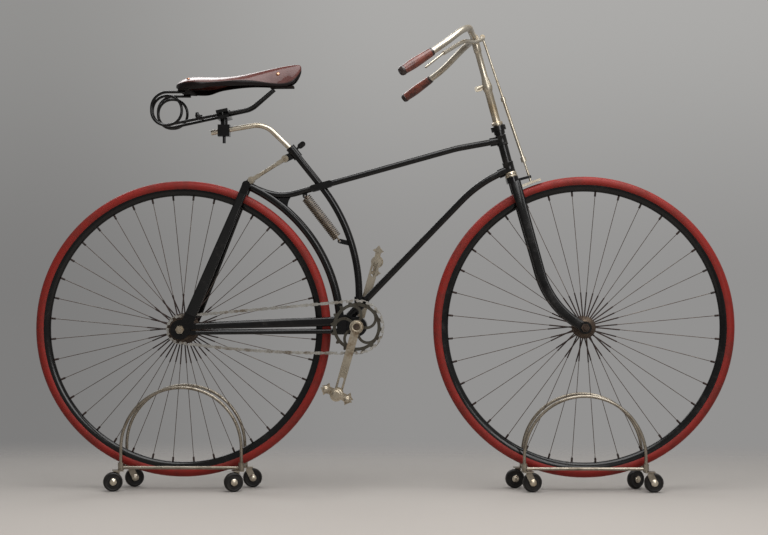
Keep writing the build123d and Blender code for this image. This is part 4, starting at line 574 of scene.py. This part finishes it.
WAIST_THIN = 0.9
EYE_SIDES = 12
LINK_SIZES = tuple((label, "Float") for label in ("Length", "Height", "Waist", "Thickness"))
links_on_loop, given = growing_tree("links_on_loop", LINK_SIZES)
radius = maths(links_on_loop, "MULTIPLY", given["Height"], 0.5)
run = maths(links_on_loop, "SUBTRACT", given["Length"], given["Height"])
thin = maths(links_on_loop, "MULTIPLY", given["Thickness"], WAIST_THIN)
size = add(links_on_loop, "ShaderNodeCombineXYZ", {0: run, 1: thin, 2: given["Waist"]}).outputs[0]
unit = [add(links_on_loop, "GeometryNodeMeshCube", {"Size": size}).outputs[0]]
eye_shape = add(links_on_loop, "GeometryNodeMeshCylinder", {"Vertices": EYE_SIDES, "Radius": radius,
                                                            "Depth": given["Thickness"]}).outputs[0]
for way in (-0.5, 0.5):
    out = maths(links_on_loop, "MULTIPLY", run, way)
    move = add(links_on_loop, "ShaderNodeCombineXYZ", {0: out}).outputs[0]
    unit.append(add(links_on_loop, "GeometryNodeTransform", {"Geometry": eye_shape, "Translation": move,
                                                             "Rotation": (pi / 2, 0, 0)}).outputs[0])
joined = add(links_on_loop, "GeometryNodeJoinGeometry")
for shape in unit:
    links_on_loop.links.new(shape, joined.inputs[0])
lie = add(links_on_loop, "GeometryNodeInputNamedAttribute", {"Name": "lie"}, data_type="FLOAT").outputs[0]
tall = add(links_on_loop, "GeometryNodeInputNamedAttribute", {"Name": "tall"}, data_type="FLOAT").outputs[0]
turn = add(links_on_loop, "FunctionNodeAxisAngleToRotation", {"Axis": (0, -1, 0), "Angle": lie}).outputs[0]
scale = add(links_on_loop, "ShaderNodeCombineXYZ", {0: 1.0, 1: 1.0, 2: tall}).outputs[0]
placed = add(links_on_loop, "GeometryNodeInstanceOnPoints", {
    "Points": given["Base"], "Instance": joined.outputs[0], "Rotation": turn, "Scale": scale}).outputs[0]
finish_tree(links_on_loop, placed, given["Finish"])


def loop_mesh(name, places):
    """Points along the loop with the angle that each link lies at and how tall it is."""
    mesh = bpy.data.meshes.new(name)
    mesh.from_pydata([place for place, lie, tall in places], [], [])
    for label, column in (("lie", 1), ("tall", 2)):
        values = mesh.attributes.new(label, "FLOAT", "POINT")
        values.data.foreach_set("value", [entry[column] for entry in places])
    return mesh


CHAIN_HEIGHT = 8.0 * MM
BLOCK_LENGTH = 21.0 * MM
BLOCK_WAIST = CHAIN_HEIGHT * 0.95
BLOCK_WIDTH = 6.4 * MM
PLATE_LENGTH = 18.5 * MM
PLATE_HEIGHT = CHAIN_HEIGHT * 0.95
PLATE_WAIST = CHAIN_HEIGHT * 0.6
PLATE_THICKNESS = 1.4 * MM
PLATE_Y = 4.0 * MM
TEETH_REACH = 16.2 * MM
LOW_SHARE = 0.28
LOW_OUT = 2.85 * MM
LOOK_AHEAD = 2 * MM
blocks = []
plates = []
for link in range(2 * chain_links):
    length = link * CHAIN_PITCH / 2
    place = chain_place(length)
    ahead = chain_place(length + LOOK_AHEAD) - chain_place(length - LOOK_AHEAD)
    lie = atan2(ahead.z, ahead.x)
    if link % 2:
        plates += [(place + Vector((0, side * PLATE_Y, 0)), lie, 1.0) for side in (-1, 1)]
        continue
    to_ring = hypot(place.x - bracket.x, place.z - bracket.z) - ring_pitch
    to_cog = hypot(place.x - rear_axle.x, place.z - rear_axle.z) - cog_pitch
    if min(to_ring, to_cog) < TEETH_REACH:
        blocks.append((place + Vector((sin(lie), 0, -cos(lie))) * LOW_OUT, lie, LOW_SHARE))
    else:
        blocks.append((place, lie, 1.0))
chain_steel = aged_finish("chain_steel", srgb(186, 184, 178), srgb(116, 106, 94), metallic=(1.0, 0.85),
                          roughness=(0.34, 0.58), patch=50.0, bump=0.1)
ring_steel = aged_finish("ring_steel", srgb(90, 87, 79), srgb(62, 56, 48), metallic=(1.0, 0.9),
                         roughness=(0.34, 0.55), patch=40.0, bump=0.08)
block_sizes = {"Length": BLOCK_LENGTH, "Height": CHAIN_HEIGHT, "Waist": BLOCK_WAIST, "Thickness": BLOCK_WIDTH}
plate_sizes = {"Length": PLATE_LENGTH, "Height": PLATE_HEIGHT, "Waist": PLATE_WAIST,
               "Thickness": PLATE_THICKNESS}
grown("chain_blocks", loop_mesh("chain_block_places", blocks), links_on_loop, block_sizes, chain_steel,
      "frame", ["chain"])
grown("chain_plates", loop_mesh("chain_plate_places", plates), links_on_loop, plate_sizes, chain_steel,
      "frame")
dress(ring_steel, "chainring")
dress(tarnished_nickel, "crank_axle", "crank_right", "crank_left", "pedal_right", "pedal_left")
dress(rusty_steel, "rear_cog")

# Crank eyes: a raised ring round the eye of each crank, with the dark end of the axle sunk in it.
# The rings are of the cranks' dull nickel and the axle ends of rusty steel.
CRANK_OUTER = 70.0 * MM
CRANK_EYE = [(8.4, -0.5), (14.2, -0.5), (14.8, 0.6), (14.2, 1.9), (12.6, 2.5), (9.8, 2.5), (8.8, 1.9),
             (8.4, 1.0)]
AXLE_END = [(0.0, -0.5), (8.6, -0.5), (8.6, 0.5), (5.0, 0.9), (4.4, 0.3), (0.0, 0.3)]
eyes = bmesh.new()
axle_ends = bmesh.new()
for side in (-1, 1):
    place = Vector((bracket.x, side * CRANK_OUTER, bracket.z))
    turn_profile(eyes, in_metres(CRANK_EYE), place, (0, side, 0), segments=40)
    turn_profile(axle_ends, in_metres(AXLE_END), place, (0, side, 0), segments=32, closed=False)
piece_from("crank_eyes", eyes, tarnished_nickel, "crank")
piece_from("crank_axle_ends", axle_ends, rusty_steel, "crank")

# Pedal caps: turned domes with a ring round them, screwed on the outer ends of each pedal's spindle and rods.
# They are of the same dull nickel as the pedals.
PEDAL_REACH = 29.0 * MM
PEDAL_TILTS = {"right": radians(-25.0), "left": radians(82.0)}
PEDAL_OUTER = 162.0 * MM
ROD_CAP = 9.0 * MM
SPINDLE_CAP = 16.0 * MM
CAP_DOME = (
    # share of the cap's radius, height in millimetres
    (0.0, 0.0), (1.0, 0.0), (1.0, 0.84), (0.9, 1.54), (0.74, 1.4), (0.68, 2.38), (0.5, 3.5), (0.25, 4.06),
    (0.0, 4.2),
)
for name, side in (("right", -1), ("left", 1)):
    spindle = Vector(joints[f"pedal_{name}_spin"]["pos_m"])
    tilt = PEDAL_TILTS[name]
    bm = bmesh.new()
    for reach, radius in ((-PEDAL_REACH, ROD_CAP), (0.0, SPINDLE_CAP), (PEDAL_REACH, ROD_CAP)):
        place = Vector((spindle.x + reach * cos(tilt), side * PEDAL_OUTER, spindle.z + reach * sin(tilt)))
        dome = [(radius * share, height * MM) for share, height in CAP_DOME]
        turn_profile(bm, dome, place, (0, side, 0), segments=24, closed=False)
    piece_from(f"pedal_{name}_caps", bm, tarnished_nickel, f"pedal_{name}")


# Frame spring: a close-wound coil of round wire under tension, hooked to an ear on the top tube and another
# on the seat tube. Its plating is half gone, in brown patches.
def sweep_tube(bm, points, radius, sides=12):
    """Adds a round wire through points, square to its run at each and closed at its ends."""
    rings = []
    out = (points[1] - points[0]).orthogonal().normalized()
    for number, point in enumerate(points):
        along = (points[min(number + 1, len(points) - 1)] - points[max(number - 1, 0)]).normalized()
        out = (out - along * out.dot(along)).normalized()
        across = along.cross(out)
        turns = [2 * pi * step / sides for step in range(sides)]
        rings.append([bm.verts.new(point + (out * cos(t) + across * sin(t)) * radius) for t in turns])
    for first, second in zip(rings, rings[1:]):
        for step in range(sides):
            after = (step + 1) % sides
            bm.faces.new((first[step], first[after], second[after], second[step]))
    bm.faces.new(rings[0])
    bm.faces.new(rings[-1])


SPRING_TOP = Vector((-0.2008, 0, 0.7453))
SPRING_FOOT = Vector((-0.112, 0, 0.631))
COIL_RADIUS = 11.5 * MM
COIL_WIRE = 1.7 * MM
COIL_SIDES = 8
COIL_TURNS = 26
TURN_STEPS = 18
COIL_FROM = 4.0 * MM
COIL_TO = 12.0 * MM
HOOK_WIRE = 1.9 * MM
HOOK_SIDES = 10
HOOK_HALF = Vector((0, 5.7 * MM, 0))
TOP_HOOK = COIL_FROM + 6 * MM
FOOT_HOOK = COIL_TO + 4 * MM
spring_run = SPRING_FOOT - SPRING_TOP
spring_way = spring_run.normalized()
spring_out = Vector((0, 1, 0))
spring_up = spring_way.cross(spring_out)
coil_length = spring_run.length - COIL_FROM - COIL_TO
coil = []
for step in range(COIL_TURNS * TURN_STEPS + 1):
    angle = 2 * pi * step / TURN_STEPS
    middle = SPRING_TOP + spring_way * (COIL_FROM + coil_length * step / (COIL_TURNS * TURN_STEPS))
    coil.append(middle + (spring_out * cos(angle) + spring_up * sin(angle)) * COIL_RADIUS)
bm = bmesh.new()
sweep_tube(bm, coil, COIL_WIRE, COIL_SIDES)
for place, into in ((SPRING_TOP, spring_way * TOP_HOOK), (SPRING_FOOT, -spring_way * FOOT_HOOK)):
    hook = [place - HOOK_HALF + into, place - HOOK_HALF, place + HOOK_HALF, place + HOOK_HALF + into]
    for first, second in zip(hook, hook[1:]):
        bar_between(bm, first, second, HOOK_WIRE, HOOK_SIDES)
spring_steel = aged_finish("spring_steel", srgb(130, 118, 103), srgb(66, 50, 40), metallic=(1.0, 0.7),
                           roughness=(0.32, 0.55), patch=40.0)
piece_from("frame_spring_coil", bm, spring_steel, "frame", ["frame_spring"])

# Link rod and seat post: a round link with a forked eye at each end, its nickel gone dull, and the bent bar
# that carries the saddle, whose nickel is still bright and a little yellow.
bright_nickel = aged_finish("bright_nickel", srgb(206, 197, 180), srgb(172, 155, 128),
                            roughness=(0.28, 0.4), amount=0.34, grain=300.0, bump=0.02)
dress(tarnished_nickel, "link_rod")
dress(bright_nickel, "seat_post")

# Saddle: one hide of leather, polished maroon on top, with painted shade darkening the skirts below the fold,
# blocked over nose and cantle plates. It is drawn over the stations of its length, thickened inwards and
# softened.
CLAMP = Vector((-0.4066, 0, 0.9118))
SADDLE_STATIONS = (
    # forward of the clamp, half width, ridge, fold, hem
    (-117.5, 34.0, 112.0, 108.0, 104.0), (-115.0, 58.0, 118.0, 109.5, 102.0),
    (-107.0, 78.0, 126.0, 113.0, 99.0), (-90.0, 93.0, 134.5, 116.5, 97.0),
    (-66.0, 102.5, 136.0, 117.0, 96.0), (-44.0, 101.5, 135.5, 115.5, 97.0),
    (-22.0, 87.0, 135.0, 116.5, 105.5), (0.0, 66.0, 135.0, 120.5, 107.5),
    (32.0, 45.0, 138.0, 126.0, 110.0), (72.0, 33.5, 146.5, 126.5, 112.5),
    (112.0, 28.0, 156.5, 119.0, 111.0), (150.0, 25.0, 165.0, 115.5, 108.0),
    (174.0, 23.0, 168.5, 123.0, 114.0), (187.0, 18.5, 169.0, 136.0, 126.0),
    (194.5, 11.0, 166.5, 149.0, 141.0), (197.0, 4.0, 160.0, 153.0, 149.0),
)
SADDLE_SECTION = (
    # share of the half width, level: 0 on the ridge, 1 on the fold, 2 on the hem
    (0.0, 0.0), (0.35, 0.12), (0.65, 0.38), (0.87, 0.74), (0.97, 0.97), (1.0, 1.12), (0.99, 1.5), (0.94, 2.0),
)
LEATHER = 4.0 * MM
FOLD_LEVEL = 1.0
SKIRT_PAINTED_SHADE = srgb(20, 13, 13)
POLISH = 0.3
maroon_leather = aged_finish("maroon_leather", srgb(84, 42, 36), srgb(68, 33, 29), metallic=(0.0, 0.0),
                             roughness=(0.3, 0.36), amount=0.36, patch=12.0, grain=700.0, bump=0.03,
                             specular=0.25)
tree = maroon_leather.node_tree
shader = tree.nodes["Principled BSDF"]
polished = shader.inputs["Base Color"].links[0].from_socket
# Painted shade: below the fold the leather's colour is blended to a near-black brown where the skirts turn
# down into shade, and the coat is kept on the top only.
polished_unshaded_top = add(tree, "ShaderNodeAttribute", attribute_name="polished_unshaded_top").outputs["Fac"]
tree.links.new(blend_colours(tree, polished_unshaded_top, SKIRT_PAINTED_SHADE, polished), shader.inputs["Base Color"])
tree.links.new(spread(tree, polished_unshaded_top, 0, 1, 0, POLISH), shader.inputs["Coat Weight"])


def hide_place(station, share, level):
    """A place on the hide at a station, a share of its half width and a level from ridge to hem."""
    forward, half, ridge, fold, hem = station
    up = ridge + (fold - ridge) * level if level < 1 else fold + (hem - fold) * (level - 1)
    return CLAMP + Vector((forward, half * share, up)) * MM


bm = bmesh.new()
polished_unshaded_top = bm.verts.layers.float.new("polished_unshaded_top")
rows = []
across_hide = [(-share, level) for share, level in reversed(SADDLE_SECTION)] + list(SADDLE_SECTION[1:])
for station in SADDLE_STATIONS:
    rows.append([bm.verts.new(hide_place(station, share, level)) for share, level in across_hide])
    for corner, (share, level) in zip(rows[-1], across_hide):
        # The mask is 1 on the top and 0 below the fold, where shade is painted into the leather's colour.
        corner[polished_unshaded_top] = 1.0 if level < FOLD_LEVEL else 0.0
for first, second in zip(rows, rows[1:]):
    for step in range(len(across_hide) - 1):
        bm.faces.new((first[step], second[step], second[step + 1], first[step + 1]))
bm.faces.new(rows[0])
bm.faces.new(rows[-1])
hide = piece_from("saddle_hide", bm, maroon_leather, "frame", ["saddle_leather"], smooth=80.0)
wall = hide.modifiers.new("wall", "SOLIDIFY")
wall.thickness = LEATHER
wall.offset = -1.0
soft = hide.modifiers.new("soft", "SUBSURF")
soft.levels = 2
soft.render_levels = 2

# Saddle rivets: domed copper heads, two on each side, that hold the hide to the nose and cantle plates.
# Each is turned from its section and stands square to the hide.
RIVETS = (
    # forward of the clamp, share of the half width, level on the hide
    (-82.0, 0.78, 0.55), (138.0, 0.7, 0.44),
)
RIVET_HEAD = [(0, -1.0), (4.6, -1.0), (4.6, 0.2), (3.6, 1.3), (2.0, 1.9), (0, 2.1)]
INWARDS = 0.1
UPWARDS = 0.12
bm = bmesh.new()
for forward, share, level in RIVETS:
    stretches = zip(SADDLE_STATIONS, SADDLE_STATIONS[1:])
    before, after = next(pair for pair in stretches if pair[0][0] <= forward <= pair[1][0])
    between = (forward - before[0]) / (after[0] - before[0])
    station = [a + (b - a) * between for a, b in zip(before, after)]
    for side in (-1, 1):
        place = hide_place(station, side * share, level)
        inner = hide_place(station, side * (share - INWARDS), level - UPWARDS)
        out = (place - inner).cross(Vector((-side, 0, 0))).normalized()
        turn_profile(bm, in_metres(RIVET_HEAD), place, out, segments=16, closed=False)
copper = aged_finish("copper_rivet", srgb(214, 160, 128), srgb(150, 96, 70), roughness=(0.2, 0.4), patch=80.0)
piece_from("saddle_rivets", bm, copper, "frame")

# Saddle frame: two wires, each coiled once behind, and the clamp that holds them on the post, all under
# black enamel. The nose and cantle plates under the hide are of bare iron gone black and rough.
dark_iron = aged_finish("dark_iron", srgb(22, 19, 18), srgb(36, 30, 27), metallic=(0.0, 0.0),
                        roughness=(0.75, 0.9), patch=30.0, bump=0.1, specular=0.08)
dress(black_enamel, "saddle_springs", "saddle_clamp")
dress(dark_iron, "saddle_plates")

# Spreader: a round bolt across the two saddle wires behind the clamp, with a tall thumb nut over each wire.
# It is under the same black enamel as the wires.
SPREADER = CLAMP + Vector((-61.0, 0.0, 29.5)) * MM
SPREADER_HALF = Vector((0, 50.0 * MM, 0))
SPREADER_RADIUS = 3.0 * MM
THUMB_NUT = [(0, 0), (4.5, 0), (4.5, 6.0), (6.0, 8.0), (6.0, 13.0), (4.2, 16.0), (4.2, 19.0), (0, 20.0)]
NUT_Y = 39.0 * MM
NUT_BELOW = 5.0 * MM
NUT_LEAN = (-0.2, 0, 1)
bm = bmesh.new()
bar_between(bm, SPREADER - SPREADER_HALF, SPREADER + SPREADER_HALF, SPREADER_RADIUS, sides=16)
for side in (-1, 1):
    foot = SPREADER + Vector((0, side * NUT_Y, -NUT_BELOW))
    turn_profile(bm, in_metres(THUMB_NUT), foot, NUT_LEAN, segments=16, closed=False)
piece_from("saddle_spreader", bm, black_enamel, "frame")

# Steering: above the fork, the stem, the swept handlebar, the brake lever and the plunger's rod and spoon.
# They are bent and turned from steel and plated, in bright nickel gone a little yellow.
dress(bright_nickel, "stem", "handlebar", "brake_lever", "brake_rod")

# Head lugs: sleeves brazed round the head where the top tube and the down tube meet it, with rolled edges.
# They are under the same black enamel as the tubes.
HEAD_FOOT = Vector(joints["steering_turn"]["pos_m"])
STEER_UP = Vector(joints["steering_turn"]["axis"])
HEAD_SLEEVE = [(11.5, 13.0), (13.4, 13.0), (14.2, 12.2), (14.2, 10.6), (13.6, 9.6)]
SLEEVES_UP = (27.5, 97.4)
bm = bmesh.new()
for up in SLEEVES_UP:
    turn_profile(bm, both_halves(HEAD_SLEEVE), HEAD_FOOT + STEER_UP * up * MM, STEER_UP, segments=48)
piece_from("head_lugs", bm, black_enamel, "frame", smooth=50.0)

# Head race: a ball race of bright nickel, pressed on the foot of the head, with a groove round its middle.
# It is turned from its section about the steering axis.
RACE = [(13.0, 0.2), (15.2, 0.2), (15.8, 1.4), (15.8, 4.6), (14.8, 5.6), (14.8, 7.0), (15.6, 8.2),
        (15.2, 12.4), (13.8, 14.0), (11.5, 14.0)]
bm = bmesh.new()
turn_profile(bm, in_metres(RACE), HEAD_FOOT, STEER_UP, segments=48)
piece_from("head_race", bm, bright_nickel, "frame")

# Grips: turned mahogany handles, polished by use, with a dark ferrule at the mouth and a horn cap at the end.
# They are driven on the ends of the handlebar.
BAR_END = Vector((0.05055, 0.34, 1.0267))
GRIP_WAY = Vector((-99.5, 38.0, -68.3)).normalized()
BAR_IN_GRIP = 90.0 * MM
HANDLE = [(8.2, 6.0), (10.4, 6.0), (10.9, 8.0), (10.8, 12.0), (11.4, 26.0), (12.3, 46.0), (12.5, 56.0),
          (12.1, 68.0), (11.3, 80.0), (11.0, 86.0), (8.2, 86.0)]
FERRULE = [(8.1, 0.0), (9.6, 0.0), (10.2, 1.5), (10.2, 6.2), (8.1, 6.2)]
HORN_CAP = [(0.0, 85.8), (11.2, 85.8), (11.9, 87.0), (11.9, 90.5), (11.2, 91.5), (11.0, 94.0), (8.8, 96.8),
            (5.0, 97.8), (0.0, 98.0)]
mahogany = aged_finish("mahogany", srgb(116, 58, 44), srgb(62, 30, 24), metallic=(0.0, 0.0),
                       roughness=(0.3, 0.44), patch=30.0, grain=900.0, bump=0.06, coat=0.35)
dark_horn = aged_finish("dark_horn", srgb(34, 20, 16), srgb(52, 32, 26), metallic=(0.0, 0.0),
                        roughness=(0.25, 0.45), patch=50.0, coat=0.3)
wood = bmesh.new()
horn = bmesh.new()
for side in (-1, 1):
    way = Vector((GRIP_WAY.x, side * GRIP_WAY.y, GRIP_WAY.z))
    mouth = Vector((BAR_END.x, side * BAR_END.y, BAR_END.z)) - way * BAR_IN_GRIP
    turn_profile(wood, in_metres(HANDLE), mouth, way, segments=40)
    turn_profile(horn, in_metres(FERRULE), mouth, way, segments=40)
    turn_profile(horn, in_metres(HORN_CAP), mouth, way, segments=40, closed=False)
piece_from("grip_handles", wood, mahogany, "steering", ["grips"])
piece_from("grip_ends", horn, dark_horn, "steering")

# Stands: bent nickelled rod, two hoops beside each tyre on a base frame whose cross bars cradle it.
# Each corner stands on a swivelling caster with one pressed cheek, a solid rubber wheel and domed caps.
stand_steel = aged_finish("stand_steel", srgb(152, 144, 131), srgb(112, 103, 90), metallic=(1.0, 0.95),
                          roughness=(0.3, 0.46), amount=0.38, patch=20.0, grain=300.0, bump=0.03)
caster_rubber = aged_finish("caster_rubber", srgb(22, 20, 19), srgb(44, 40, 37), metallic=(0.0, 0.0),
                            roughness=(0.45, 0.65), amount=0.36, patch=60.0, bump=0.1, specular=0.3)
dress(stand_steel, "rear_stand", "front_stand")
TREAD = [(4.2, 8.0), (9.5, 8.4), (10.6, 7.8), (11.4, 6.6), (17.6, 6.6), (18.4, 7.8), (20.4, 8.4),
         (22.6, 7.4), (23.9, 5.4), (24.4, 2.6), (24.5, 0.8)]
CASTER_CAP = [(0, 0.0), (8.8, 0.0), (8.8, 0.6), (7.4, 2.0), (5.0, 3.1), (2.4, 3.7), (0, 3.9)]
CAP_OUT = {
    # side along the wheel's axis: millimetres out from its middle, more on the side of the cheek
    1: 9.1,
    -1: 12.1,
}
for name, joint in joints.items():
    if not name.endswith("_roll"):
        continue
    body = joint["child"]
    centre = Vector(joint["pos_m"])
    axis = Vector(joint["axis"])
    bm = bmesh.new()
    turn_profile(bm, both_halves(TREAD), centre, axis, segments=48)
    piece_from(f"{body}_tread", bm, caster_rubber, body, [body])
    bm = bmesh.new()
    for side, out in CAP_OUT.items():
        foot = centre + axis * side * out * MM
        turn_profile(bm, in_metres(CASTER_CAP), foot, axis * side, segments=24, closed=False)
    piece_from(f"{joint['parent']}_caps", bm, bright_nickel, joint["parent"])
    dress(stand_steel, joint["parent"])
